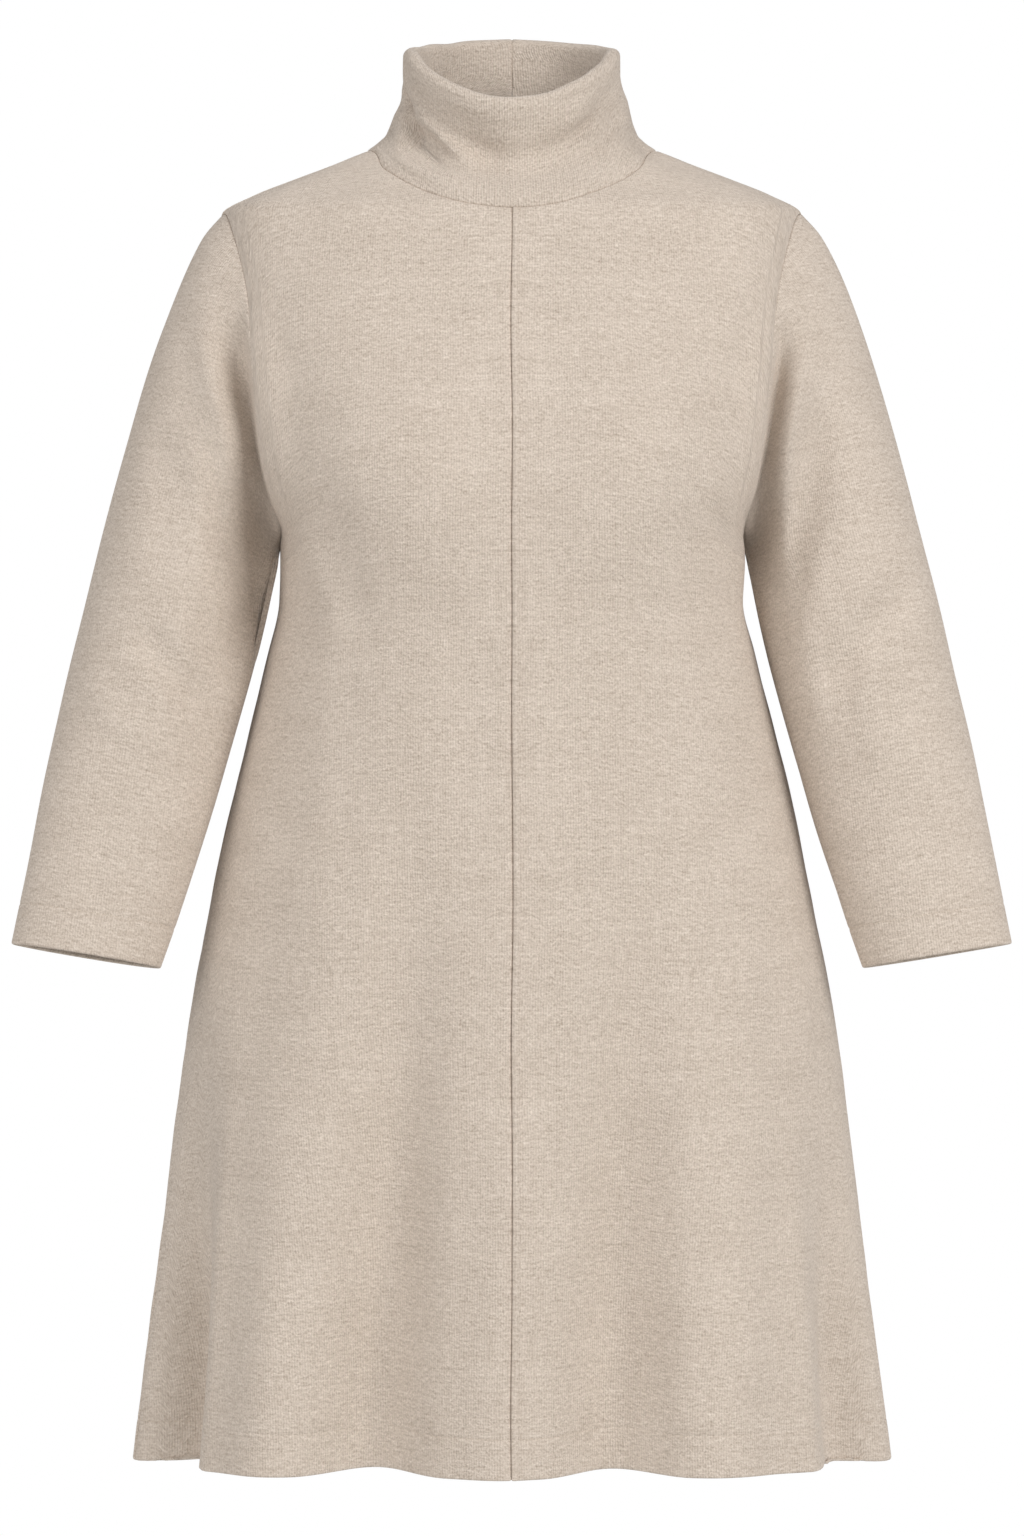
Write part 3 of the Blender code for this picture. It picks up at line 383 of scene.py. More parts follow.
BODY_CREASES = (
    Crease(
        Face.FRONT,
        ((-0.178, -0.105), (-0.173, -0.165), (-0.165, -0.215), (-0.158, -0.270)),
        0.022,
        0.004,
    ),
    Crease(
        Face.FRONT,
        ((0.178, -0.105), (0.172, -0.165), (0.164, -0.215), (0.157, -0.270)),
        0.022,
        0.004,
    ),
    Crease(Face.FRONT, ((-0.152, -0.215), (-0.136, -0.275), (-0.120, -0.345)), 0.013, 0.0022),
    Crease(Face.FRONT, ((-0.120, -0.225), (-0.110, -0.290), (-0.098, -0.360)), 0.017, -0.0016),
    Crease(Face.FRONT, ((0.136, -0.212), (0.150, -0.270), (0.165, -0.340)), 0.014, 0.0022),
    Crease(Face.FRONT, ((0.112, -0.230), (0.122, -0.290), (0.128, -0.355)), 0.017, -0.0014),
    Crease(Face.FRONT, ((-0.176, -0.120), (-0.158, -0.150), (-0.130, -0.172)), 0.018, -0.0012),
    Crease(Face.FRONT, ((0.178, -0.110), (0.158, -0.146), (0.128, -0.176)), 0.018, -0.0012),
    Crease(Face.FRONT, ((-0.040, -0.300), (-0.030, -0.420), (-0.034, -0.560)), 0.026, -0.0013),
    Crease(Face.FRONT, ((0.040, -0.330), (0.046, -0.450), (0.040, -0.590)), 0.024, -0.0012),
    Crease(Face.FRONT, ((-0.140, -0.360), (-0.160, -0.480), (-0.180, -0.620)), 0.026, -0.0018),
    Crease(Face.FRONT, ((0.150, -0.370), (0.172, -0.500), (0.186, -0.640)), 0.026, -0.0015),
    Crease(Face.BACK, ((-0.150, -0.220), (-0.132, -0.280), (-0.116, -0.350)), 0.015, 0.0024),
    Crease(Face.BACK, ((0.146, -0.215), (0.134, -0.280), (0.112, -0.345)), 0.015, 0.0021),
    Crease(Face.BACK, ((-0.172, -0.130), (-0.140, -0.160), (-0.090, -0.178)), 0.020, -0.0018),
    Crease(Face.BACK, ((0.174, -0.120), (0.138, -0.155), (0.080, -0.180)), 0.020, -0.0016),
    Crease(Face.BACK, ((-0.060, -0.040), (0.000, -0.052), (0.062, -0.038)), 0.016, -0.0012),
    Crease(Face.BACK, ((0.060, -0.300), (0.052, -0.420), (0.062, -0.560)), 0.026, -0.0016),
    Crease(Face.BACK, ((-0.060, -0.320), (-0.050, -0.440), (-0.058, -0.580)), 0.026, -0.0014),
)


@dataclass
class BodyForm:
    """The surface that the fronts and the back lie on, with its folds and creases."""

    lift_share: float = 0.11
    fold_full: float = 0.95
    fold_growth: float = 1.3
    fade_from: float = 0.5
    side_hold: float = 0.10
    side_fade: float = 0.28
    mean_radius: float = 0.16
    broad_waves: Waves = Waves(5, 0.085, 0.0007, 2.2)
    small_waves: Waves = Waves(9, 0.034, 0.000245, 1.6)
    seam_waves: Waves = Waves(21, 0.16, 0.0007)
    seam_half_width: float = 0.03
    steps: tuple[float, float] = (0.004, 0.0008)

    def girth(self, z: Array) -> list[Array]:
        """Half width, both depths and squareness of the ring at each height."""
        names = ("half_width", "front_depth", "back_depth", "squareness")
        return [read_table(GIRTHS[::-1], "z", name, z) for name in names]

    def ring(self, angle: Array, z: Array) -> Array:
        """Find the surface before its folds.

        Args:
            angle: Angles round the body.
            z: Heights.

        Returns:
            The point at each angle and height.
        """
        half_width, front, back, power = self.girth(z)
        sine, cosine = np.sin(angle), np.cos(angle)
        reach = squared_reach(angle, power)
        depth = np.where(cosine >= 0, front, back)
        parts = [half_width * reach * sine, -depth * reach * cosine, z + 0 * angle]
        return np.stack(parts, axis=-1)

    def push(self, x: Array, z: Array, angle: Array) -> tuple[Array, Array]:
        """Add up folds, swells, creases and unevenness.

        Args:
            x: Places across.
            z: Heights.
            angle: Angles round the body.

        Returns:
            How far the cloth moves out, and how far it is lifted.
        """
        cosine = np.cos(angle)
        weight = {
            Face.FRONT: smoothstep((cosine - self.side_hold) / self.side_fade),
            Face.BACK: smoothstep((-cosine - self.side_hold) / self.side_fade),
        }
        push, lift = np.zeros(np.shape(x)), np.zeros(np.shape(x))
        for fold in BODY_FOLDS:
            away, passed = beside_line(x, z, (fold.start, fold.end))
            width = fold.start_width + (fold.end_width - fold.start_width) * passed
            grown = smoothstep(passed / self.fold_full) ** self.fold_growth
            late = smoothstep((passed - self.fade_from) / (1.0 - self.fade_from))
            share = bump(away / width) * grown * (1.0 - (1.0 - fold.end_share) * late)
            push = push + weight[fold.face] * fold.depth * share
            lift = lift + self.lift_share * max(-fold.depth, 0.0) * weight[fold.face] * share
        for swell in BODY_SWELLS:
            far = np.hypot((x - swell.x) / swell.half_width, (z - swell.z) / swell.half_height)
            push = push + weight[swell.face] * swell.height * bump(far)
        for crease in BODY_CREASES:
            push = push + weight[crease.face] * crease.push(x, z)
        turned = angle * self.mean_radius
        push = push + self.broad_waves.at(turned, z) + self.small_waves.at(turned, z)
        return push, lift

    def point(self, angle: Array, z: Array) -> Array:
        """Find the cloth's outer face.

        Args:
            angle: Angles round the body.
            z: Heights before the folds lift the cloth.

        Returns:
            The point at each angle and height.
        """
        flat = self.ring(angle, z)
        push, lift = self.push(flat[..., 0], flat[..., 2], angle)
        moved = flat + push[..., None] * slopes_of(self.ring, angle, z, self.steps)
        moved[..., 2] += lift
        front = bump(flat[..., 0] / self.seam_half_width) * (np.cos(angle) > 0)
        moved[..., 0] += front * self.seam_waves.at(0 * z, z)
        return moved

    def normal(self, angle: Array, z: Array) -> Array:
        """Outward normal of the cloth."""
        return slopes_of(self.point, angle, z, self.steps)


@dataclass
class SeamLines:
    """The seams on the body, as angles in degrees and heights, for the wearer's left."""

    body: BodyForm
    neck_half_width: float = 0.101
    neck_front_drop: float = 0.0465
    neck_back_drop: float = 0.012
    neck_scoop_power: float = 1.5
    shoulder_angle: float = 83.0
    shoulder_tip_z: float = -0.045
    underarm_z: float = -0.275
    underarm_angle: float = 90.0
    side_angle: float = 83.0
    swing_top: float = -0.30
    swing_foot: float = -0.62
    scoops: dict[Face, float] = field(default_factory=lambda: {Face.FRONT: -32.5, Face.BACK: 32.0})
    powers: dict[Face, float] = field(default_factory=lambda: {Face.FRONT: 0.8, Face.BACK: 1.25})
    spread: float = -0.35

    def ring_angle(self, x: Array, z: Array) -> Array:
        """Find where the front of a ring lies at a place across.

        Args:
            x: Places across, from the middle.
            z: Heights of the rings.

        Returns:
            Angles in degrees.
        """
        half_width, _, _, power = self.body.girth(z)
        share = np.clip(x / half_width, 0.0, 1.0 - 1e-9) ** power
        return np.degrees(np.arctan((share / (1.0 - share)) ** (1.0 / power)))

    def neck(self, turn: Array) -> tuple[Array, Array]:
        """Lay the neck's oval on the body.

        Args:
            turn: Radians from the centre front, 0 to pi.

        Returns:
            Angles in degrees and heights of the neck seam.
        """
        quarter = np.where(turn <= np.pi / 2, turn, np.pi - turn)
        drop = np.where(turn <= np.pi / 2, self.neck_front_drop, self.neck_back_drop)
        z = -drop * np.abs(np.cos(quarter)) ** self.neck_scoop_power
        angle = self.ring_angle(self.neck_half_width * np.sin(quarter), z)
        swing = (90.0 - self.shoulder_angle) * smoothstep((np.degrees(quarter) - 60.0) / 30.0)
        return np.where(turn <= np.pi / 2, angle, 180.0 - angle) - swing, z

    def shoulder(self, share: Array) -> tuple[Array, Array]:
        """Lay the shoulder seam.

        Args:
            share: Shares of the way from the neck point to the tip.

        Returns:
            Angles in degrees and heights of the seam.
        """
        rows = GIRTHS[1:7]
        x = rows[0].half_width + (rows[-1].half_width - rows[0].half_width) * share
        z = glide(column(rows, "half_width"), column(rows, "z"), x)
        return np.full(np.shape(share), self.shoulder_angle), z

    def armhole_turn(self, share: Array) -> Array:
        """Turn of the armhole at even shares from the shoulder tip to the underarm."""
        return np.pi * (share - self.spread * np.sin(2 * np.pi * share) / (2 * np.pi))

    def armhole(self, turn: Array, face: Face) -> tuple[Array, Array]:
        """Lay one half of the armhole.

        Args:
            turn: Radians from 0 at the shoulder tip to pi at the underarm.
            face: Its front or its back half.

        Returns:
            Angles in degrees and heights of the seam.
        """
        middle = (self.shoulder_tip_z + self.underarm_z) / 2
        reach = (self.shoulder_tip_z - self.underarm_z) / 2
        z = middle + reach * np.cos(turn)
        seam = self.shoulder_angle + (self.underarm_angle - self.shoulder_angle) * turn / np.pi
        return seam + self.scoops[face] * np.abs(np.sin(turn)) ** self.powers[face], z

    def side(self, z: Array) -> tuple[Array, Array]:
        """The side seam at heights from the hem to the underarm."""
        swing = smoothstep((self.swing_top - z) / (self.swing_top - self.swing_foot))
        return self.underarm_angle + (self.side_angle - self.underarm_angle) * swing, z


@dataclass(frozen=True)
class Edge:
    """How a cut edge is finished: offsets along the cloth and depths into the dress."""

    offsets: tuple[float, ...]
    depths: tuple[float, ...]


SEAM_EDGE = Edge(
    (0.00063, 0.00063, 0.00072, 0.0010, 0.0015, 0.0024, 0.0038, 0.0060),
    (0.0024, 0.0011, 0.00050, 0.00020, 0.00007, 0.0, 0.0, 0.0),
)
RAISED_EDGE = Edge(
    (0.00063, 0.00063, 0.0007, 0.0010, 0.0017, 0.0025, 0.0032, 0.0037, 0.0042, 0.0050, 0.0065),
    (0.0022, 0.0006, -0.0001, -0.0006, -0.0009, -0.0009, -0.0007, -0.0002, 0.0001, 0.0, 0.0),
)
SUNK_EDGE = Edge(
    (0.00063, 0.00063, 0.00072, 0.0010, 0.0016, 0.0024, 0.0038, 0.0060),
    (0.0026, 0.0013, 0.00080, 0.00055, 0.00035, 0.0002, 0.0001, 0.0),
)
BUTTED_EDGE = Edge(
    (0.00060, 0.00062, 0.00072, 0.0010, 0.0016, 0.0028),
    (0.0016, 0.0007, 0.00030, 0.00012, 0.00003, 0.0),
)
PLAIN_EDGE = Edge((0.0,), (0.0,))


def hem_edge(allowance: float, layer: float) -> Edge:
    """Describe a hem turned up inside, from its inner end round the fold and up outside.

    Args:
        allowance: Height of the turned-up layer.
        layer: Distance between the middles of the two layers.

    Returns:
        The offsets from the fold and the depths of the rows.
    """
    inside = np.linspace(allowance, 0.003, 9)
    bend = np.radians(np.array([0.0, 30.0, 60.0, 90.0, 120.0, 150.0, 180.0]))
    half = layer / 2
    fold_offset, fold_depth = half - half * np.sin(bend), half + half * np.cos(bend)
    rise = np.array([0.003, 0.006, 0.010, 0.015, 0.020, 0.0235])
    line = allowance - 0.0005 + np.array([-0.0022, -0.0012, -0.0005, 0.0, 0.0005, 0.0012, 0.0022])
    sink = np.array([0.0, 0.00008, 0.00030, 0.00042, 0.00030, 0.00008, 0.0])
    offsets = np.concatenate([inside, fold_offset, rise, line])
    depths = np.concatenate([np.full(9, layer), fold_depth, np.zeros(6), sink])
    return Edge(tuple(offsets), tuple(depths))


@dataclass(frozen=True)
class Spacing:
    """Places of the rows or columns between two finished edges."""

    length: float
    step: float
    start: Edge = PLAIN_EDGE
    end: Edge = PLAIN_EDGE

    def rows(self) -> tuple[Array, Array]:
        """Lay the edges' own rows and even ones between them.

        Returns:
            The offset from the start of each row, and its depth into the dress.
        """
        first, last = max(self.start.offsets), self.length - max(self.end.offsets)
        count = max(2, round((last - first) / self.step))
        middle = np.linspace(first, last, count + 1)[1:-1]
        far = self.length - np.array(self.end.offsets[::-1])
        offsets = np.concatenate([self.start.offsets, middle, far])
        depths = np.concatenate([self.start.depths, np.zeros(len(middle)), self.end.depths[::-1]])
        return offsets, depths


@dataclass
class ClothWall:
    """A cloth of even thickness on a grid of points at its middle."""

    name: str
    middle: Array
    outward: Array
    anchor_column: int = 0
    anchor_row: int = 0
    thickness: float = CLOTH

    def grid_normals(self) -> Array:
        """Normals of the grid, all on the side that the outward hint gives."""
        down = np.gradient(self.middle, axis=0)
        across = np.gradient(self.middle, axis=1)
        square = unit(np.cross(across, down))
        agree = np.sum(square * self.outward, axis=-1)
        return square * (1.0 if np.median(agree) >= 0 else -1.0)

    def knit_coordinates(self) -> Array:
        """Metres across and up the cut piece at each point of the grid."""
        across = run_lengths(np.swapaxes(self.middle, 0, 1)).T
        across = across - across[:, self.anchor_column : self.anchor_column + 1]
        up = run_lengths(self.middle)
        return np.stack([across, up - up[self.anchor_row]], axis=-1)

    def build(self) -> bpy.types.Object:
        """Make the wall's mesh.

        Returns:
            The object, linked to the scene, with its knit coordinates.
        """
        rows, columns = self.middle.shape[:2]
        half = self.grid_normals() * self.thickness / 2
        outer, inner = self.middle + half, self.middle - half
        points = np.concatenate([outer.reshape(-1, 3), inner.reshape(-1, 3)])
        corners = np.arange(rows * columns).reshape(rows, columns)
        offset = rows * columns
        a, b = corners[:-1, :-1].ravel(), corners[:-1, 1:].ravel()
        c, d = corners[1:, 1:].ravel(), corners[1:, :-1].ravel()
        face = np.stack([a, b, c, d], axis=1)
        edges = (corners[0, ::-1], corners[-1], corners[:, 0], corners[::-1, -1])
        rims = [
            np.stack([e[:-1], e[1:], e[1:] + offset, e[:-1] + offset], axis=1) for e in edges
        ]
        corner = corners[rows // 2, columns // 2]
        here = points[corner]
        way = np.cross(points[corner + 1] - here, points[corner + columns] - here)
        turned = np.dot(way, half.reshape(-1, 3)[corner]) < 0
        quads = np.concatenate([face, face[:, ::-1] + offset] + rims)
        quads = quads[:, ::-1] if turned else quads
        mesh = bpy.data.meshes.new(self.name)
        mesh.from_pydata(points.tolist(), [], quads.tolist())
        flat = self.knit_coordinates().reshape(-1, 2)
        layer = mesh.uv_layers.new(name=KNIT_COORDINATES)
        loops = np.zeros(len(mesh.loops), dtype=np.int32)
        mesh.loops.foreach_get("vertex_index", loops)
        layer.data.foreach_set("uv", np.concatenate([flat, flat])[loops].ravel())
        mesh.shade_smooth()
        return add_object(self.name, mesh)


def base_places(offsets: Array, length: float) -> tuple[Array, Array]:
    """Sort out the separate places that rows or columns lie at.

    Args:
        offsets: Offset of each row from the start, in any order and with repeats.
        length: Offset of the far edge.

    Returns:
        The separate offsets from 0 to the length, and where each row is among them.
    """
    places = np.unique(np.round(np.concatenate([[0.0], offsets, [length]]), 8))
    return places, np.searchsorted(places, np.round(offsets, 8))


@dataclass
class BodyPanel:
    """One panel of the body, spread between its seams."""

    name: str
    lines: SeamLines
    step: float = 0.0040
    row_step: float = 0.0042
    hem_layer: float = 0.0016
    sag: float = 0.035
    yoke: float = 0.235
    edge_power: float = 2.0
    fine: int = 700

    def resample(self, line: tuple[Array, Array], shares: Array) -> tuple[Array, Array]:
        """Read a line on the body at shares of its length.

        Args:
            line: Angles in degrees and heights of the line.
            shares: Shares of its length.

        Returns:
            The angle and height at each share.
        """
        run = run_lengths(self.lines.body.ring(np.radians(line[0]), line[1]))
        run = run / run[-1]
        return np.interp(shares, run, line[0]), np.interp(shares, run, line[1])

    def length(self, line: tuple[Array, Array]) -> float:
        """Length of a line of angles in degrees and heights."""
        return float(run_lengths(self.lines.body.ring(np.radians(line[0]), line[1]))[-1])

    def spread_rows(self) -> tuple[Array, Array, Array, Array]:
        """Lay the rows from the hem to the top.

        Returns:
            Heights below the underarm, shares above it, where each row is among them,
            and the rows' depths.
        """
        hem = hem_edge(HEM_ALLOWANCE, self.hem_layer)
        split = self.lines.underarm_z - HEM_Z
        low_rows, low_depths = Spacing(split, self.row_step, start=hem).rows()
        high_rows, high_depths = Spacing(self.yoke, self.row_step, end=SEAM_EDGE).rows()
        rows = np.concatenate([low_rows, split + high_rows[1:]])
        places, index = base_places(rows, split + self.yoke)
        low = places[places <= split + SNAP]
        high = places[places > split + SNAP]
        depths = np.concatenate([low_depths, high_depths[1:]])
        return HEM_Z + low, (high - split) / self.yoke, index, depths

    def spread_columns(self, parts: list[tuple[tuple, Spacing]]) -> tuple:
        """Lay the columns along the panel's top, one part after the other.

        Args:
            parts: Each part's line of angles and heights, and its spacing.

        Returns:
            The top line at the separate places, their shares of its length, where each
            column is among them, and the columns' depths.
        """
        offsets, depths, start = [], [], 0.0
        for _, spacing in parts:
            rows, row_depths = spacing.rows()
            first = 1 if offsets else 0
            offsets.append(start + rows[first:])
            depths.append(row_depths[first:])
            start += spacing.length
        places, index = base_places(np.concatenate(offsets), start)
        pieces, start = [], 0.0
        for line, spacing in parts:
            end = start + spacing.length
            inside = (places >= start - SNAP) & (places <= end + SNAP)
            inside &= (places > start + SNAP) | (start == 0.0)
            pieces.append(self.resample(line, (places[inside] - start) / spacing.length))
            start = end
        top = tuple(np.concatenate([piece[k] for piece in pieces]) for k in (0, 1))
        return top, places / start, index, np.concatenate(depths)

    def fill(self, centre: tuple, outer: tuple, hem: tuple, top: tuple) -> tuple:
        """Spread a grid evenly from the garment's centre to the panel's outer edge.

        Args:
            centre: First column's angles in degrees and heights.
            outer: Last column's.
            hem: Lowest row's.
            top: Highest row's.

        Returns:
            Angles in radians and heights of the grid.
        """
        body = self.lines.body
        edges = [body.ring(np.radians(line[0]), line[1]) for line in (centre, outer, hem, top)]
        left, right, low, high = edges
        shares = [run_lengths(edge) / run_lengths(edge)[-1] for edge in edges]
        up = ((shares[0] + shares[1]) / 2)[:, None, None]
        over = ((shares[2] + shares[3]) / 2)[None, :, None]
        pull = over**self.edge_power
        sides = (1 - pull) * left[:, None] + pull * right[:, None]
        ends = (1 - up) * low[None] + up * high[None]
        lower, upper = ((1 - pull) * e[0] + pull * e[-1] for e in (low, high))
        point = sides + ends - ((1 - up) * lower + up * upper)
        underarm = up[np.argmin(np.abs(outer[1] - self.lines.underarm_z))]
        near = smoothstep(np.minimum(up / underarm, (1 - up) / (1 - underarm)))
        z = point[..., 2] - self.sag * (near * SAG_PEAK * over**2 * (1 - over))[..., 0]
        half_width, front, back, _ = body.girth(z)
        depth = np.where(point[..., 1] <= 0, front, back)
        angle = np.arctan2(point[..., 0] / half_width, -point[..., 1] / depth)
        for place, line in ((np.s_[0, :], hem), (np.s_[-1, :], top)):
            angle[place], z[place] = np.radians(line[0]), line[1]
        for place, line in ((np.s_[:, 0], centre), (np.s_[:, -1], outer)):
            angle[place], z[place] = np.radians(line[0]), line[1]
        return angle, z

    def centre_line(self, low: Array, high: Array, angle: float, drop: float) -> tuple:
        """Lay a centre line from the hem up to the neck.

        Args:
            low: Heights below the underarm.
            high: Shares of the way from the underarm to the neck.
            angle: The line's angle in degrees.
            drop: How far the neck's edge lies below the shoulder's level.

        Returns:
            Angles in degrees and heights of the line.
        """
        underarm = self.lines.underarm_z
        z = np.concatenate([low, underarm + (-drop - underarm) * high])
        return np.full(len(z), angle), z

    def side_and_armhole(self, low: Array, high: Array, face: Face) -> tuple[Array, Array]:
        """Lay the panel's outer edge, from the hem by the underarm to the shoulder tip.

        Args:
            low: Heights below the underarm.
            high: Shares of the way from the underarm to the shoulder tip.
            face: The half of the body that the panel covers.

        Returns:
            Angles in degrees and heights of the edge.
        """
        side = self.lines.side(low)
        armhole = self.lines.armhole(self.lines.armhole_turn(1.0 - high), face)
        return tuple(np.concatenate([side[k], armhole[k]]) for k in (0, 1))

    def hem_line(self, start: float, end: float, shares: Array) -> tuple[Array, Array]:
        """The hem between two angles."""
        angle = np.linspace(start, end, self.fine)
        return self.resample((angle, np.full(self.fine, HEM_Z)), shares)

    def spread(self, turns: Array, edge: Edge, centre: float, drop: float, face: Face) -> tuple:
        """Spread the panel from its centre line to its side.

        Args:
            turns: Turns round the neck, from the centre to the shoulder.
            edge: How the panel is finished at the centre.
            centre: Angle in degrees of the centre line.
            drop: How far the neck's edge lies below the shoulder's level there.
            face: The half of the body that the panel covers.

        Returns:
            Angles in radians, heights and depths of the grid.
        """
        lines = self.lines
        low, high, row_index, row_depths = self.spread_rows()
        neck, shoulder = lines.neck(turns), lines.shoulder(np.linspace(0.0, 1.0, self.fine))
        parts = [
            (neck, Spacing(self.length(neck), self.step, start=edge)),
            (shoulder, Spacing(self.length(shoulder), self.step, end=SEAM_EDGE)),
        ]
        top, shares, column_index, column_depths = self.spread_columns(parts)
        hem = self.hem_line(centre, lines.side_angle, shares)
        middle = self.centre_line(low, high, centre, drop)
        outer = self.side_and_armhole(low, high, face)
        angle, z = self.fill(middle, outer, hem, top)
        cells = np.ix_(row_index, column_index)
        return angle[cells], z[cells], row_depths[:, None] + column_depths[None, :]

    def wall(self, angle: Array, z: Array, depth: Array, anchor: int) -> ClothWall:
        """Lay the panel's grid on the body.

        Args:
            angle: Angles of the grid in radians.
            z: Its heights.
            depth: How far each point lies inside the body's surface.
            anchor: The column that the knit's ribs are measured from.

        Returns:
            The panel's wall of cloth, ready to build.
        """
        outward = self.lines.body.normal(angle, z)
        middle = self.lines.body.point(angle, z) - outward * (depth + CLOTH / 2)[..., None]
        return ClothWall(self.name, middle, outward, anchor)


@dataclass
class FrontPanel(BodyPanel):
    """One front, from the centre seam to the side seam and the armhole."""

    side: Side = Side.LEFT
    centre_edge: Edge = RAISED_EDGE
    flat: tuple[float, float] = (0.285, 0.98)
    area: float = 0.240

    def build(self) -> bpy.types.Object:
        """Cut and form the front.

        Returns:
            Its cloth, linked to the scene.
        """
        turns = np.linspace(0.0, np.pi / 2, self.fine)
        drop = self.lines.neck_front_drop
        angle, z, depth = self.spread(turns, self.centre_edge, 0.0, drop, Face.FRONT)
        return self.wall(self.side.value * angle, z, depth, 0).build()


@dataclass
class BackPanel(BodyPanel):
    """The back in one piece, from the wearer's left side round to the right."""

    sag: float = 0.020
    flat: tuple[float, float] = (0.60, 0.97)
    area: float = 0.505

    def build(self) -> bpy.types.Object:
        """Cut and form the back, as one half and its mirrored other half.

        Returns:
            Its cloth, linked to the scene.
        """
        turns = np.linspace(np.pi, np.pi / 2, self.fine)
        drop = self.lines.neck_back_drop
        angle, z, depth = self.spread(turns, PLAIN_EDGE, 180.0, drop, Face.BACK)
        anchor = angle.shape[1] - 1
        angle = np.concatenate([angle[:, ::-1], 2 * np.pi - angle[:, 1:]], axis=1)
        z, depth = (np.concatenate([part[:, ::-1], part[:, 1:]], axis=1) for part in (z, depth))
        return self.wall(angle, z, depth, anchor).build()


@dataclass(frozen=True)
class SleeveRow:
    """One row of the sleeve between its outer and inner lines."""

    share: float
    outer_run: float
    inner_run: float
    depth: float
    squareness: float


SLEEVE_OUTER: Line = (
    (0.2012, -0.045),
    (0.2163, -0.063),
    (0.2440, -0.126),
    (0.2700, -0.210),
    (0.2915, -0.294),
    (0.3108, -0.378),
    (0.3280, -0.461),
    (0.3452, -0.553),
)
SLEEVE_INNER: Line = (
    (0.1610, -0.275),
    (0.1733, -0.335),
    (0.1947, -0.419),
    (0.2198, -0.502),
    (0.2423, -0.570),
)
SLEEVE_ROWS = (
    SleeveRow(0.00, 0.000, 0.000, 0.114, 2.0),
    SleeveRow(0.15, 0.160, 0.010, 0.117, 2.0),
    SleeveRow(0.30, 0.330, 0.025, 0.119, 2.0),
    SleeveRow(0.45, 0.508, 0.085, 0.116, 2.1),
    SleeveRow(0.70, 0.732, 0.520, 0.093, 2.1),
    SleeveRow(1.00, 1.000, 1.000, 0.062, 2.1),
)
SLEEVE_CREASES = {
    Side.RIGHT: (
        Crease(
            Face.FRONT,
            (
                (0.207, -0.100),
                (0.193, -0.140),
                (0.183, -0.175),
                (0.175, -0.212),
                (0.174, -0.250),
                (0.179, -0.310),
                (0.190, -0.390),
            ),
            0.024,
            -0.026,
        ),
        Crease(
            Face.FRONT,
            ((0.200, -0.200), (0.196, -0.290), (0.206, -0.390), (0.222, -0.470)),
            0.036,
            -0.009,
        ),
        Crease(Face.FRONT, ((0.224, -0.085), (0.206, -0.140), (0.206, -0.200)), 0.022, 0.004),
        Crease(Face.FRONT, ((0.262, -0.330), (0.228, -0.372), (0.212, -0.400)), 0.020, -0.005),
        Crease(Face.FRONT, ((0.222, -0.200), (0.212, -0.262), (0.216, -0.330)), 0.014, 0.0030),
        Crease(Face.FRONT, ((0.252, -0.180), (0.236, -0.240), (0.240, -0.310)), 0.020, -0.0022),
        Crease(Face.FRONT, ((0.300, -0.360), (0.268, -0.402), (0.236, -0.418)), 0.018, 0.0018),
        Crease(Face.FRONT, ((0.262, -0.440), (0.282, -0.490), (0.290, -0.545)), 0.020, -0.0014),
        Crease(Face.BACK, ((0.214, -0.090), (0.200, -0.150), (0.190, -0.220)), 0.024, -0.006),
        Crease(Face.BACK, ((0.236, -0.150), (0.222, -0.230), (0.226, -0.300)), 0.020, 0.0035),
        Crease(Face.BACK, ((0.290, -0.310), (0.252, -0.345), (0.218, -0.352)), 0.018, -0.0035),
        Crease(Face.BACK, ((0.300, -0.350), (0.262, -0.385), (0.226, -0.398)), 0.018, 0.0028),
    ),
    Side.LEFT: (
        Crease(
            Face.FRONT,
            (
                (0.196, -0.110),
                (0.184, -0.150),
                (0.177, -0.190),
                (0.172, -0.230),
                (0.172, -0.270),
                (0.182, -0.340),
            ),
            0.019,
            -0.020,
        ),
        Crease(
            Face.FRONT,
            ((0.213, -0.160), (0.207, -0.215), (0.203, -0.250), (0.196, -0.300), (0.188, -0.350)),
            0.020,
            -0.009,
        ),
        Crease(Face.FRONT, ((0.278, -0.300), (0.235, -0.352), (0.212, -0.385)), 0.020, -0.005),
        Crease(Face.FRONT, ((0.230, -0.190), (0.218, -0.255), (0.220, -0.330)), 0.016, -0.0026),
        Crease(Face.FRONT, ((0.196, -0.300), (0.204, -0.360), (0.214, -0.420)), 0.016, 0.0030),
        Crease(Face.FRONT, ((0.242, -0.330), (0.244, -0.385), (0.252, -0.440)), 0.016, 0.0024),
        Crease(Face.FRONT, ((0.268, -0.430), (0.284, -0.485), (0.296, -0.540)), 0.020, -0.0014),
        Crease(Face.BACK, ((0.212, -0.095), (0.198, -0.155), (0.188, -0.225)), 0.024, -0.006),
        Crease(Face.BACK, ((0.234, -0.160), (0.220, -0.240), (0.224, -0.310)), 0.020, 0.0035),
        Crease(Face.BACK, ((0.286, -0.300), (0.250, -0.338), (0.214, -0.348)), 0.018, -0.0033),
        Crease(Face.BACK, ((0.298, -0.345), (0.258, -0.380), (0.224, -0.392)), 0.018, 0.0026),
    ),
}


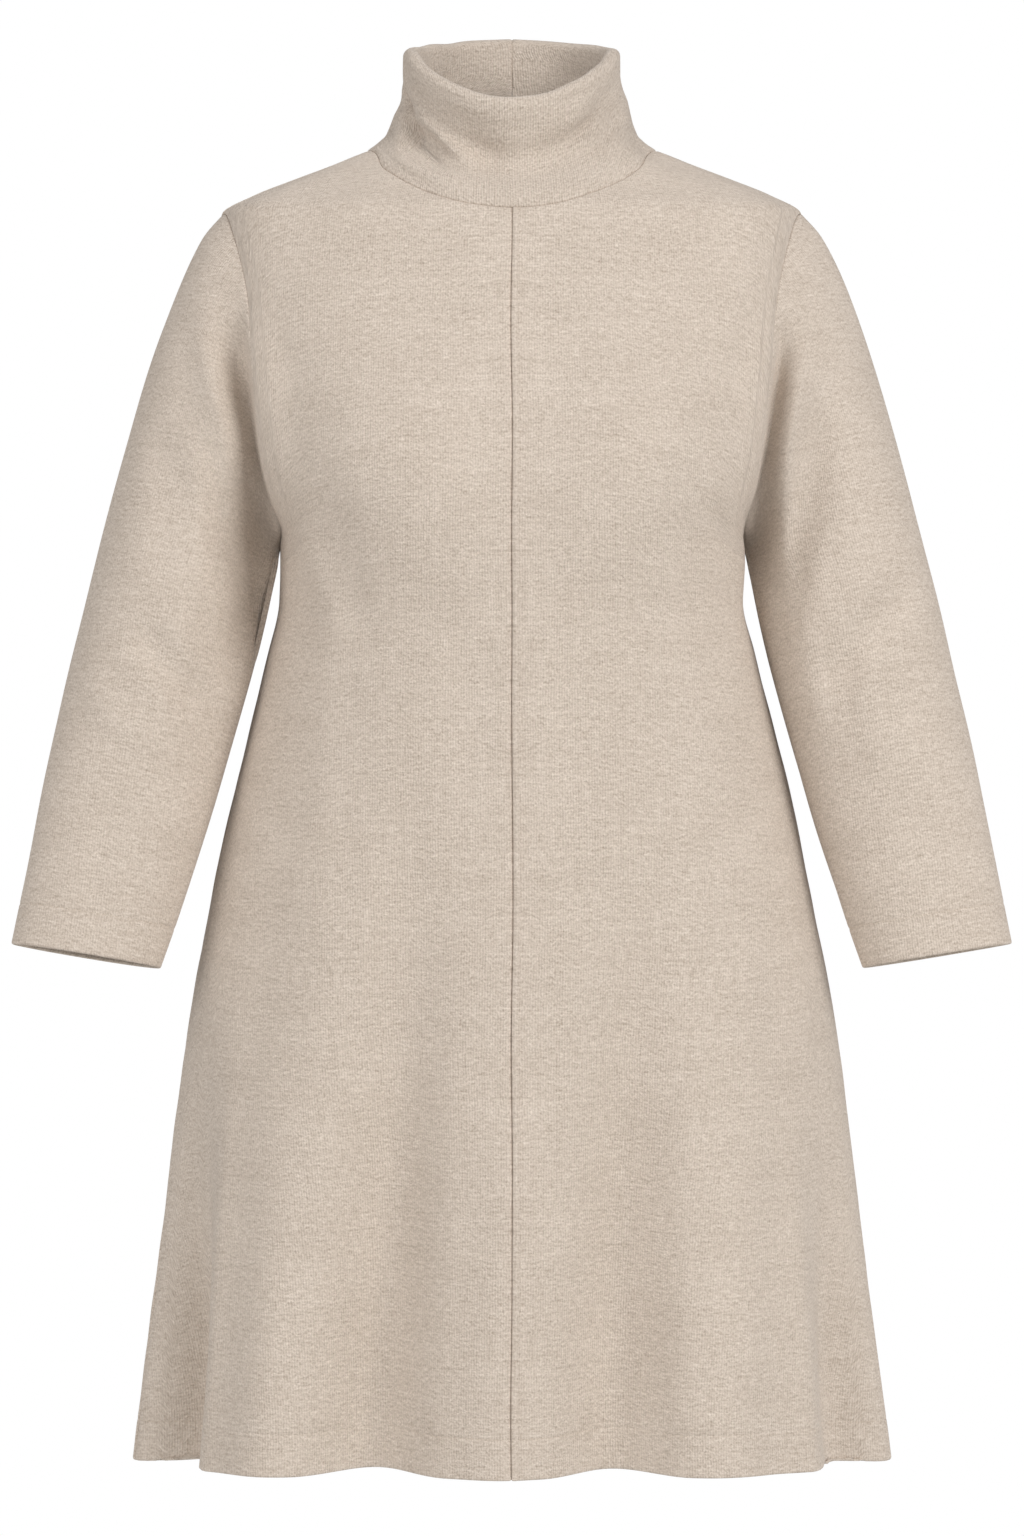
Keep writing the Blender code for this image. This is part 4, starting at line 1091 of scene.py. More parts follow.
@dataclass
class Sleeve:
    """One set-in sleeve, joined along its underarm, with a turned-up cuff hem."""

    name: str
    lines: SeamLines
    side: Side
    forward: float
    pitch: float
    waves: Waves
    centre_y: float = -0.0045
    blend_share: float = 0.34
    seam_calm: float = 0.022
    side_fade: float = 0.28
    wave_radius: float = 0.055
    wave_length: float = 0.55
    ease_waves: Waves = Waves(41, 0.013, 0.00035, 6.0)
    ease_radius: float = 0.075
    ease_length: float = 0.5
    ease_start: float = 0.004
    ease_end: float = 0.05
    ease_spread: float = 0.4
    outward_rise: float = 0.25
    mean_radius: float = 0.052
    hem_layer: float = 0.0016
    columns: int = 92
    rows: int = 138
    steps: tuple[float, float] = (0.05, 0.004)
    flat: tuple[float, float] = (0.40, 0.60)
    area: float = 0.152

    def row(self, share: Array, name: str) -> Array:
        """A column of the sleeve's table at shares of its length."""
        return read_table(SLEEVE_ROWS, "share", name, share)

    def tube(self, turn: Array, share: Array) -> Array:
        """Find the plain tube.

        Args:
            turn: Radians from 0 on the outer line, growing forwards.
            share: Shares of the way from the armhole to the cuff.

        Returns:
            The point at each turn and share.
        """
        outer = along(SLEEVE_OUTER, self.row(share, "outer_run"))
        inner = along(SLEEVE_INNER, self.row(share, "inner_run"))
        middle, half = (outer + inner) / 2, (outer - inner) / 2
        sine, cosine = np.sin(turn), np.cos(turn)
        reach = squared_reach(turn, self.row(share, "squareness"))
        forward = reach * sine * self.row(share, "depth") / 2
        pitch = np.radians(self.pitch) * smoothstep(share)
        swing = 2.0 * smoothstep(share / 2.0)
        x = middle[..., 0] + reach * cosine * half[..., 0]
        y = self.centre_y - self.forward * swing - forward * np.cos(pitch)
        z = middle[..., 1] + reach * cosine * half[..., 1] + forward * np.sin(pitch)
        return np.stack([self.side.value * x, y, z], axis=-1)

    def armhole(self, turn: Array) -> Array:
        """Find the armhole seam.

        Args:
            turn: The sleeve's turns in radians.

        Returns:
            The seam's point at each turn.
        """
        wrapped = np.mod(turn, 2 * np.pi)
        front = self.lines.armhole(np.minimum(wrapped, np.pi), Face.FRONT)
        back = self.lines.armhole(2 * np.pi - np.maximum(wrapped, np.pi), Face.BACK)
        ahead = wrapped <= np.pi
        angle, z = (np.where(ahead, front[k], back[k]) for k in (0, 1))
        return self.lines.body.point(np.radians(self.side.value * angle), z)

    def point(self, turn: Array, share: Array) -> Array:
        """Find the sleeve's outer face.

        Args:
            turn: Radians from 0 on the outer line, growing forwards.
            share: Shares of the way from the armhole to the cuff.

        Returns:
            The point at each turn and share.
        """
        tube = self.tube(turn, share)
        pull = self.armhole(turn) - self.tube(turn, 0 * share)
        hold = 1.0 - smoothstep(share / self.blend_share)
        point = tube + hold[..., None] * pull
        weight = {
            Face.FRONT: smoothstep(np.sin(turn) / self.side_fade),
            Face.BACK: smoothstep(-np.sin(turn) / self.side_fade),
        }
        sign = {Face.FRONT: -1.0, Face.BACK: 1.0}
        calm = smoothstep(share / self.seam_calm)
        x, z = self.side.value * point[..., 0], point[..., 2]
        for crease in SLEEVE_CREASES[self.side]:
            push = crease.push(x, z) * weight[crease.face] * calm
            point[..., 1] += sign[crease.face] * push
        lift = self.waves.at(self.wave_radius * turn, self.wave_length * share) * calm
        ease = self.ease_waves.at(self.ease_radius * turn, self.ease_length * share)
        ease = ease * bump(share / self.ease_end) * smoothstep(share / self.ease_start)
        lift = lift + ease * smoothstep(np.cos(turn) + self.ease_spread)
        cosine = np.cos(turn)
        ways = [self.side.value * cosine, -np.sin(turn), self.outward_rise * cosine]
        return point + lift[..., None] * unit(np.stack(ways, axis=-1))

    def normal(self, turn: Array, share: Array) -> Array:
        """Outward normal of the sleeve."""
        return self.side.value * slopes_of(self.point, turn, share, self.steps)

    def share_of_run(self, run: Array) -> Array:
        """The share of the rows that lies at a share of the outer line's length."""
        fine = np.linspace(0.0, 1.0, 800)
        return np.interp(run, self.row(fine, "outer_run"), fine)

    def spread(self) -> tuple[Array, Array, Array]:
        """Lay the sleeve's grid.

        Returns:
            Turns, shares and depths at each point of the grid, from the armhole down.
        """
        length = run_lengths(np.array(SLEEVE_OUTER))[-1]
        hem = hem_edge(HEM_ALLOWANCE, self.hem_layer)
        offsets, depths = Spacing(length, length / self.rows, start=hem, end=SEAM_EDGE).rows()
        shares = self.share_of_run(np.clip(1.0 - offsets[::-1] / length, 0.0, 1.0))
        girth = 2 * np.pi * self.mean_radius
        step = girth / self.columns
        across, column_depths = Spacing(girth, step, start=SEAM_EDGE, end=SEAM_EDGE).rows()
        turns = (across / girth * 2 - 1) * np.pi
        turn, share = np.meshgrid(turns, shares)
        return turn, share, depths[::-1][:, None] + column_depths[None, :]

    def build(self) -> bpy.types.Object:
        """Cut and form the sleeve.

        Returns:
            Its cloth, linked to the scene.
        """
        turn, share, depth = self.spread()
        outward = self.normal(turn, share)
        middle = self.point(turn, share) - outward * (depth + CLOTH / 2)[..., None]
        return ClothWall(self.name, middle, outward, middle.shape[1] // 2, -1).build()


@dataclass(frozen=True)
class CollarRise:
    """How the collar drifts from the neck seam to the rim at a share of its height."""

    share: float
    height: float
    side_drift: float
    front_drift: float
    back_drift: float


@dataclass(frozen=True)
class Dent:
    """A soft oval dent of the collar, by its turn in degrees and share of the height."""

    angle: float
    share: float
    half_angle: float
    half_share: float
    depth: float


COLLAR_RISE = (
    CollarRise(0.00, 0.00, 0.00, 0.00, 0.00),
    CollarRise(0.12, 0.09, 0.33, 0.10, -0.30),
    CollarRise(0.25, 0.21, 0.66, 0.62, -0.50),
    CollarRise(0.40, 0.36, 0.80, 1.62, -0.30),
    CollarRise(0.55, 0.52, 0.90, 1.90, 0.00),
    CollarRise(0.68, 0.66, 0.97, 1.70, 0.35),
    CollarRise(0.80, 0.79, 1.00, 1.42, 0.70),
    CollarRise(0.91, 0.90, 1.00, 1.12, 0.92),
    CollarRise(1.00, 1.00, 1.00, 1.00, 1.00),
)
COLLAR_DENTS = (
    Dent(-88.0, 0.56, 34.0, 0.16, -0.0040),
    Dent(-62.0, 0.36, 30.0, 0.17, -0.0060),
    Dent(-45.0, 0.20, 32.0, 0.12, 0.0030),
    Dent(-13.0, 0.53, 36.0, 0.26, -0.0050),
    Dent(34.0, 0.74, 28.0, 0.26, 0.0060),
    Dent(72.0, 0.50, 24.0, 0.15, -0.0030),
    Dent(46.0, 0.57, 16.0, 0.14, -0.0036),
    Dent(140.0, 0.55, 26.0, 0.30, -0.0035),
    Dent(-150.0, 0.50, 24.0, 0.28, -0.0030),
)
COLLAR_CREASES = (
    Crease(
        Face.FRONT,
        ((-98, 76), (-78, 50), (-56, 28), (-38, 30), (-22, 36)),
        11.0,
        -0.0085,
        0.0040,
    ),
    Crease(Face.FRONT, ((-70, 62), (-46, 50), (-32, 44), (-20, 37)), 9.0, 0.0050),
    Crease(Face.FRONT, ((88, 46), (64, 36), (44, 33), (28, 34), (12, 31)), 10.0, -0.0018, 0.0010),
    Crease(Face.BACK, ((130, 84), (146, 58), (160, 30)), 12.0, -0.0016),
    Crease(Face.BACK, ((-128, 80), (-146, 54), (-166, 26)), 12.0, -0.0014),
    Crease(Face.BACK, ((100, 70), (112, 44), (128, 22)), 10.0, 0.0012),
)


@dataclass
class Collar:
    """The folded double collar: its face, the rolled rim and the inner layer behind it."""

    name: str
    lines: SeamLines
    rim_half_width: float = 0.0762
    rim_front_y: float = -0.0660
    rim_back_y: float = 0.0660
    rim_front_z: float = 0.0240
    rim_side_z: float = 0.0665
    rim_back_z: float = 0.0800
    rim_power: float = 1.5
    rim_back_power: float = 1.2
    roll_radius: float = 0.0054
    lining_gap: float = 0.0046
    lining_end: float = 0.05
    foot_calm: float = 0.15
    rim_calm: float = 0.12
    waves: Waves = Waves(61, 0.045, 0.0006)
    wave_radius: float = 0.09
    wave_length: float = 0.08
    wave_start: float = 0.1
    seam_flat: float = 0.001
    seam_turn: float = 0.005
    mean_radius: float = 0.078
    height: float = 0.075
    columns: int = 150
    rows: int = 30
    roll_rows: int = 9
    steps: tuple[float, float] = (0.05, 0.01)
    flat: tuple[float, float] = (0.56, 0.19)
    area: float = 0.080

    def base(self, turn: Array) -> Array:
        """Find the neck seam.

        Args:
            turn: Radians round the neck, from 0 at the centre front towards +X.

        Returns:
            The seam's point at each turn.
        """
        wrapped = np.mod(turn, 2 * np.pi)
        half = np.where(wrapped <= np.pi, wrapped, 2 * np.pi - wrapped)
        angle, z = self.lines.neck(half)
        angle = np.where(wrapped <= np.pi, angle, -angle)
        return self.lines.body.point(np.radians(angle), z)

    def body_normal(self, turn: Array) -> Array:
        """Outward normal of the body along the neck seam."""
        angle, z = self.lines.neck(np.abs(turn))
        return self.lines.body.normal(np.radians(np.sign(turn) * angle), z)

    def drift(self, turn: Array, share: Array) -> Array:
        """How far the face has moved from the neck seam's place to the rim's.

        Args:
            turn: Radians round the neck.
            share: Shares of the collar's height.

        Returns:
            The share of the way across, and of the way up, in a last axis of three.
        """
        front, side, back = self.weights(turn)
        across = (
            front * read_table(COLLAR_RISE, "share", "front_drift", share)
            + side * read_table(COLLAR_RISE, "share", "side_drift", share)
            + back * read_table(COLLAR_RISE, "share", "back_drift", share)
        )
        height = read_table(COLLAR_RISE, "share", "height", share)
        return np.stack([across, across, height], axis=-1)

    def weights(self, turn: Array) -> tuple[Array, Array, Array]:
        """How much the front, the sides and the back count at each turn."""
        front = np.clip(np.cos(turn), 0, 1) ** self.rim_power
        back = np.clip(-np.cos(turn), 0, 1) ** self.rim_back_power
        return front, 1 - front - back, back

    def dents(self, turn: Array, share: Array) -> Array:
        """Add up the collar's dents, creases and unevenness.

        Args:
            turn: Radians round the neck.
            share: Shares of the collar's height.

        Returns:
            How far the cloth moves out at each point.
        """
        degrees = np.degrees(np.angle(np.exp(1j * turn)))
        push = np.zeros(np.shape(turn))
        for dent in COLLAR_DENTS:
            apart = np.degrees(np.angle(np.exp(1j * (turn - np.radians(dent.angle)))))
            far = np.hypot(apart / dent.half_angle, (share - dent.share) / dent.half_share)
            push = push + dent.depth * bump(far)
        for crease in COLLAR_CREASES:
            push = push + crease.push(degrees, 100.0 * share)
        push = push * smoothstep(share / self.foot_calm) * smoothstep((1 - share) / self.rim_calm)
        across = np.sin(turn) * self.wave_radius
        upward = share * self.wave_length + np.cos(turn) * self.wave_radius
        return push + self.waves.at(across, upward) * smoothstep(share / self.wave_start)

    def leg(self, turn: Array, share: Array) -> Array:
        """Find the collar's outer face.

        Args:
            turn: Radians round the neck.
            share: Shares of the collar's height.

        Returns:
            The point at each turn and share.
        """
        sine, cosine = np.sin(turn), np.cos(turn)
        front, side, back = self.weights(turn)
        rim_z = front * self.rim_front_z + side * self.rim_side_z + back * self.rim_back_z
        rim_depth = np.where(cosine >= 0, -self.rim_front_y, self.rim_back_y)
        places = [self.rim_half_width * sine, -rim_depth * cosine, rim_z + 0 * share]
        rim, foot = np.stack(places, axis=-1), self.base(turn)
        point = foot + (rim - foot) * self.drift(turn, share)
        outward = np.stack([sine, -cosine, 0 * turn], axis=-1)
        return point + self.dents(turn, share)[..., None] * outward

    def build(self) -> bpy.types.Object:
        """Cut and form the collar.

        Returns:
            Its cloth, linked to the scene.
        """
        girth = 2 * np.pi * self.mean_radius
        step = girth / self.columns
        across, column_depths = Spacing(girth, step, start=BUTTED_EDGE, end=BUTTED_EDGE).rows()
        turns = (across / girth * 2 - 1) * np.pi
        rise, rise_depths = Spacing(self.height, self.height / self.rows, start=SEAM_EDGE).rows()
        turn, share = np.meshgrid(turns, rise / self.height)
        face = self.leg(turn, share)
        normal = slopes_of(self.leg, turn, share, self.steps)
        level = 1.0 - smoothstep((rise[:, None, None] - self.seam_flat) / self.seam_turn)
        normal = unit(normal + level * (self.body_normal(turn) - normal))
        rim, out = face[-1], normal[-1]
        rising = unit(face[-1] - face[-3])
        rising = unit(rising - out * np.sum(rising * out, axis=-1, keepdims=True))
        layers, normals, depths = [face], [normal], [rise_depths]
        for bend in np.linspace(0.0, np.pi, self.roll_rows + 2)[1:-1]:
            turned = out * np.cos(bend) + rising * np.sin(bend)
            layers.append((rim + (turned - out) * self.roll_radius)[None])
            normals.append(turned[None])
            depths.append(np.zeros(1))
        turn, share = np.meshgrid(turns, np.linspace(1.0, self.lining_end, self.rows))
        gap = self.lining_gap + (2 * self.roll_radius - self.lining_gap) * share
        normal = slopes_of(self.leg, turn, share, self.steps)
        normal[0] = out
        layers.append(self.leg(turn, share) - normal * gap[..., None])
        normals.append(-normal)
        depths.append(np.zeros(self.rows))
        outer, hint = np.concatenate(layers), np.concatenate(normals)
        depth = np.concatenate(depths)[:, None] + column_depths[None, :]
        middle = outer - hint * (depth + CLOTH / 2)[..., None]
        return ClothWall(self.name, middle, hint, middle.shape[1] // 2).build()


@dataclass(frozen=True)
class BrushedKnit:
    """Brushed knit of mixed yarn: row flecks, fine ribs with painted groove shade and a soft nap.
    """

    light: tuple[float, float, float] = (0.800, 0.700, 0.608)
    dark: tuple[float, float, float] = (0.410, 0.330, 0.262)
    # Painted shade of the ribs: colour darker in their grooves; also scales their bump with
    # rib_relief.
    rib_shade_and_relief: float = 0.14
    rib_pitch: float = 0.0018
    rib_wander: float = 9.0
    rib_relief: float = 1.5
    fleck_weight: float = 1.05
    fleck_length: float = 0.0062
    fleck_height: float = 0.0019
    fleck_relief: float = 0.6
    streak_weight: float = 0.34
    streak_length: float = 0.045
    streak_height: float = 0.0042
    grain_weight: float = 1.35
    grain: float = 0.0016
    cloud_weight: float = 0.24
    cloud: float = 0.050
    cloud_squash: float = 1.4
    noise_roughness: float = 0.6
    relief: float = 0.0011
    relief_strength: float = 0.75
    roughness: float = 0.94
    specular: float = 0.18
    sheen: float = 0.30
    sheen_roughness: float = 0.55
    sheen_tint: tuple[float, float, float] = (1.0, 0.95, 0.89)

    def build(self, name: str) -> bpy.types.Material:
        """Make the knit's material.

        Args:
            name: Name of the material.

        Returns:
            The material, laid out in the cloth's knit coordinates.
        """
        material = bpy.data.materials.new(name)
        material.use_nodes = True
        tree = material.node_tree
        shader = tree.nodes["Principled BSDF"]
        shader.inputs["Roughness"].default_value = self.roughness
        shader.inputs["Specular IOR Level"].default_value = self.specular
        shader.inputs["Sheen Weight"].default_value = self.sheen
        shader.inputs["Sheen Roughness"].default_value = self.sheen_roughness
        shader.inputs["Sheen Tint"].default_value = (*self.sheen_tint, 1.0)
        uv = tree.nodes.new("ShaderNodeUVMap")
        uv.uv_map = KNIT_COORDINATES
        flecks = self.noise(tree, uv, (1 / self.fleck_length, 1 / self.fleck_height), 3.0)
        grain = self.noise(tree, uv, (1 / self.grain, 1 / self.grain), 2.0)
        cloud = self.noise(tree, uv, (1 / self.cloud, self.cloud_squash / self.cloud), 2.0)
        streaks = self.noise(tree, uv, (1 / self.streak_length, 1 / self.streak_height), 2.0)
        ribs = self.ribs(tree, uv, cloud)
        parts = (
            (flecks, self.fleck_weight),
            (grain, self.grain_weight),
            (streaks, self.streak_weight),
            (cloud, self.cloud_weight),
            # The ribs add painted shade to the colour, darker in their grooves.
            (ribs, self.rib_shade_and_relief),
        )
        # Yarn colour plus the ribs' painted groove shade.
        yarn = self.blend(tree, parts)
        mix = tree.nodes.new("ShaderNodeMix")
        mix.data_type = "RGBA"
        mix.inputs["A"].default_value = (*self.dark, 1.0)
        mix.inputs["B"].default_value = (*self.light, 1.0)
        tree.links.new(yarn, mix.inputs["Factor"])
        tree.links.new(mix.outputs["Result"], shader.inputs["Base Color"])
        raised = (flecks, self.fleck_relief), (ribs, self.rib_relief * self.rib_shade_and_relief)
        height = self.blend(tree, ((grain, 1.0), *raised))
        bumps = tree.nodes.new("ShaderNodeBump")
        bumps.inputs["Strength"].default_value = self.relief_strength
        bumps.inputs["Distance"].default_value = self.relief
        tree.links.new(height, bumps.inputs["Height"])
        tree.links.new(bumps.outputs["Normal"], shader.inputs["Normal"])
        return material

    def noise(
        self, tree: bpy.types.NodeTree, uv: bpy.types.Node, scale: tuple, detail: float
    ) -> bpy.types.NodeSocket:
        """Make noise that is stretched to its own sizes on the cloth.

        Args:
            tree: The material's nodes.
            uv: The node that gives the knit's coordinates.
            scale: Cells to a metre, across and up.
            detail: How many finer layers the noise has.

        Returns:
            Its value, from 0 to 1.
        """
        mapping = tree.nodes.new("ShaderNodeMapping")
        mapping.inputs["Scale"].default_value = (scale[0], scale[1], 1.0)
        tree.links.new(uv.outputs["UV"], mapping.inputs["Vector"])
        noise = tree.nodes.new("ShaderNodeTexNoise")
        noise.inputs["Scale"].default_value = 1.0
        noise.inputs["Detail"].default_value = detail
        noise.inputs["Roughness"].default_value = self.noise_roughness
        tree.links.new(mapping.outputs["Vector"], noise.inputs["Vector"])
        return noise.outputs["Fac"]

    def ribs(
        self, tree: bpy.types.NodeTree, uv: bpy.types.Node, cloud: bpy.types.NodeSocket
    ) -> bpy.types.NodeSocket:
        """Make fine upright ribs that wander a little.

        Args:
            tree: The material's nodes.
            uv: The node that gives the knit's coordinates.
            cloud: A slow noise that shifts them.

        Returns:
            Their height, from 0 to 1.
        """
        split = tree.nodes.new("ShaderNodeSeparateXYZ")
        tree.links.new(uv.outputs["UV"], split.inputs["Vector"])
        turns = self.math(tree, "MULTIPLY", split.outputs["X"], 2 * math.pi / self.rib_pitch)
        wander = self.math(tree, "MULTIPLY", cloud, self.rib_wander)
        wave = self.math(tree, "SINE", self.math(tree, "ADD", turns, wander), 0.0)
        half = self.math(tree, "MULTIPLY", wave, 0.5)
        return self.math(tree, "ADD", half, 0.5)

    def blend(self, tree: bpy.types.NodeTree, parts: tuple) -> bpy.types.NodeSocket:
        """Add up values that each go from 0 to 1.

        Args:
            tree: The material's nodes.
            parts: Each value's socket and weight.

        Returns:
            0.5 and the weighted distance of each value from its own middle.
        """
        total: bpy.types.NodeSocket | float = 0.5
        for value, weight in parts:
            centred = self.math(tree, "SUBTRACT", value, 0.5)
            total = self.math(tree, "ADD", self.math(tree, "MULTIPLY", centred, weight), total)
        return total

    @staticmethod
    def math(
        tree: bpy.types.NodeTree,
        operation: str,
        first: bpy.types.NodeSocket,
        second: bpy.types.NodeSocket | float,
    ) -> bpy.types.NodeSocket:
        """Work out one sum.

        Args:
            tree: The material's nodes.
            operation: Blender's name for the sum.
            first: A socket.
            second: A socket or a number.

        Returns:
            The result's socket.
        """
        node = tree.nodes.new("ShaderNodeMath")
        node.operation = operation
        for socket, value in zip(node.inputs, (first, second)):
            if isinstance(value, bpy.types.NodeSocket):
                tree.links.new(value, socket)
            else:
                socket.default_value = value
        return node.outputs["Value"]


@dataclass(frozen=True)
class SewingThread:
    """Matt sewing thread in the knit's colour."""

    colour: tuple[float, float, float] = (0.60, 0.505, 0.410)
    shades: tuple[float, float] = (0.85, 1.1)
    twist_scale: float = 2600.0
    roughness: float = 0.8
    sheen: float = 0.15

    def build(self, name: str) -> bpy.types.Material:
        """Make the thread's material, with a fine twist along it.

        Args:
            name: Name of the material.

        Returns:
            The material.
        """
        material = bpy.data.materials.new(name)
        material.use_nodes = True
        tree = material.node_tree
        shader = tree.nodes["Principled BSDF"]
        shader.inputs["Roughness"].default_value = self.roughness
        shader.inputs["Sheen Weight"].default_value = self.sheen
        place = tree.nodes.new("ShaderNodeTexCoord")
        twist = tree.nodes.new("ShaderNodeTexNoise")
        twist.inputs["Scale"].default_value = self.twist_scale
        tree.links.new(place.outputs["Object"], twist.inputs["Vector"])
        mix = tree.nodes.new("ShaderNodeMix")
        mix.data_type = "RGBA"
        for name, shade in zip("AB", self.shades):
            mix.inputs[name].default_value = (*(shade * part for part in self.colour), 1.0)
        tree.links.new(twist.outputs["Fac"], mix.inputs["Factor"])
        tree.links.new(mix.outputs["Result"], shader.inputs["Base Color"])
        return material


@dataclass
class StitchRow:
    """A row of short straight stitches sunk into the cloth along a line."""

    name: str
    length: float = 0.0030
    gap: float = 0.0012
    radius: float = 0.00024
    rise: float = 0.00022
    sink: float = 0.00016
    start: float = 0.0006
    sides: int = 6
    stations: tuple[float, ...] = (0.0, 0.18, 0.5, 0.82, 1.0)
    taper: tuple[float, ...] = (0.35, 0.9, 1.0, 0.9, 0.35)

    def build(self, path: Array, normals: Array) -> bpy.types.Object:
        """Sew the row.

        Args:
            path: Points on the cloth's outer face along the row.
            normals: Outward normals at the points.

        Returns:
            One object that holds all the row's stitches.
        """
        run = run_lengths(path)
        count = int((run[-1] - self.length) / (self.length + self.gap))
        starts = self.start + np.arange(count) * (self.length + self.gap)
        stations = np.array(self.stations)
        at = starts[:, None] + stations[None, :] * self.length
        centre = np.stack([np.interp(at, run, path[:, k]) for k in range(3)], axis=-1)
        outward = unit(np.stack([np.interp(at, run, normals[:, k]) for k in range(3)], axis=-1))
        way = unit(np.gradient(centre, axis=1))
        aside = unit(np.cross(way, outward))
        height = self.rise * np.sin(np.pi * stations) - self.sink
        centre = centre + outward * height[None, :, None]
        turn = np.arange(self.sides) * 2 * np.pi / self.sides
        thin = self.radius * np.array(self.taper)
        ring = aside[:, :, None] * np.cos(turn)[:, None]
        ring = ring + outward[:, :, None] * np.sin(turn)[:, None]
        points = centre[:, :, None] + ring * thin[None, :, None, None]
        single = np.arange(len(stations) * self.sides).reshape(len(stations), self.sides)
        single = np.concatenate([single, single[:, :1]], axis=1)
        corners = single[:-1, :-1], single[:-1, 1:], single[1:, 1:], single[1:, :-1]
        quads = np.stack(corners, axis=-1)
        shift = np.arange(count)[:, None, None] * len(stations) * self.sides
        faces = (quads.reshape(1, -1, 4) + shift).reshape(-1, 4)
        mesh = bpy.data.meshes.new(self.name)
        mesh.from_pydata(points.reshape(-1, 3).tolist(), [], faces.tolist())
        mesh.shade_smooth()
        return add_object(self.name, mesh)


@dataclass
class TunicDress:
    """The whole dress: its six cut pieces and the stitching of its hems."""

    lines: SeamLines = field(default_factory=lambda: SeamLines(BodyForm()))
    knit: BrushedKnit = BrushedKnit()
    # The collar's ribs get stronger painted shade in their grooves.
    collar_knit: BrushedKnit = BrushedKnit(rib_shade_and_relief=0.22, fleck_length=0.0035)
    thread: SewingThread = SewingThread()
    stitch_height: float = HEM_ALLOWANCE - 0.0005
    stitch_depth: float = 0.0004
    hem_samples: int = 900
    cuff_samples: int = 600
    cuff_reach: float = 0.985
    centre_gap: float = 0.9
    side_gap: float = 0.3

    def cut(self) -> list:
        """List the pieces that a maker cuts.

        Returns:
            The six pieces, ready to build.
        """
        lines = self.lines
        left_waves, right_waves = Waves(32, 0.070, 0.0006, 1.8), Waves(30, 0.070, 0.0006, 1.8)
        return [
            FrontPanel("front_left_cloth", lines, side=Side.LEFT, centre_edge=RAISED_EDGE),
            FrontPanel("front_right_cloth", lines, side=Side.RIGHT, centre_edge=SUNK_EDGE),
            BackPanel("back_cloth", lines),
            Sleeve("sleeve_left_cloth", lines, Side.LEFT, 0.044, 4.5, left_waves),
            Sleeve("sleeve_right_cloth", lines, Side.RIGHT, 0.052, 6.0, right_waves),
            Collar("collar_cloth", lines),
        ]

    def hem_stitches(self, piece: BodyPanel, start: float, end: float) -> bpy.types.Object:
        """Sew the hem of a panel.

        Args:
            piece: The panel.
            start: Angle in degrees at which the stitches begin.
            end: Angle at which they end.

        Returns:
            The row of stitches.
        """
        body = self.lines.body
        angle = np.radians(np.linspace(start, end, self.hem_samples))
        z = np.full(self.hem_samples, HEM_Z + self.stitch_height)
        outward = body.normal(angle, z)
        path = body.point(angle, z) - outward * self.stitch_depth
        return StitchRow(piece.name.replace("cloth", "hem_stitches")).build(path, outward)

    def cuff_stitches(self, piece: Sleeve) -> bpy.types.Object:
        """Sew the hem of a cuff.

        Args:
            piece: The sleeve.

        Returns:
            The row of stitches.
        """
        length = run_lengths(np.array(SLEEVE_OUTER))[-1]
        run = np.full(self.cuff_samples, 1.0 - self.stitch_height / length)
        share = piece.share_of_run(run)
        turn = np.linspace(-self.cuff_reach * np.pi, self.cuff_reach * np.pi, self.cuff_samples)
        outward = piece.normal(turn, share)
        path = piece.point(turn, share) - outward * self.stitch_depth
        return StitchRow(piece.name.replace("cloth", "cuff_stitches")).build(path, outward)

    def stitches(self, piece: object) -> bpy.types.Object | None:
        """Sew the hem that a piece has, if any.

        Args:
            piece: One of the cut pieces.

        Returns:
            Its row of stitches, or None for the collar.
        """
        side = self.lines.side_angle
        if isinstance(piece, FrontPanel):
            sign = piece.side.value
            return self.hem_stitches(piece, sign * self.centre_gap, sign * (side - self.side_gap))
        if isinstance(piece, BackPanel):
            return self.hem_stitches(piece, side + self.side_gap, 360.0 - side - self.side_gap)
        if isinstance(piece, Sleeve):
            return self.cuff_stitches(piece)
        return None

    def build(self) -> None:
        """Build, dress and report every piece."""
        thread = self.thread.build("sewing_thread")
        for piece in self.cut():
            node = piece.name.replace("_cloth", "")
            cloth = piece.build()
            knit = self.collar_knit if isinstance(piece, Collar) else self.knit
            cloth.data.materials.append(knit.build(node + "_brushed_knit"))
            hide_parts(node)
            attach(cloth, "root")
            sewing = self.stitches(piece)
            if sewing is not None:
                sewing.data.materials.append(thread)
                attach(sewing, "root")
            log.info("%s: %d faces", cloth.name, len(cloth.data.polygons))


@dataclass(frozen=True)
class Lamp:
    """One soft square lamp."""

    name: str
    place: tuple[float, float, float]
    size: float
    power: float


STUDIO_LAMPS = (
    Lamp("key", (3.3, -3.3, 1.7), 2.4, 158.0),
    Lamp("fill", (-3.8, -3.0, 1.3), 2.6, 92.0),
    Lamp("back", (-0.8, 3.2, 1.4), 2.6, 12.0),
)


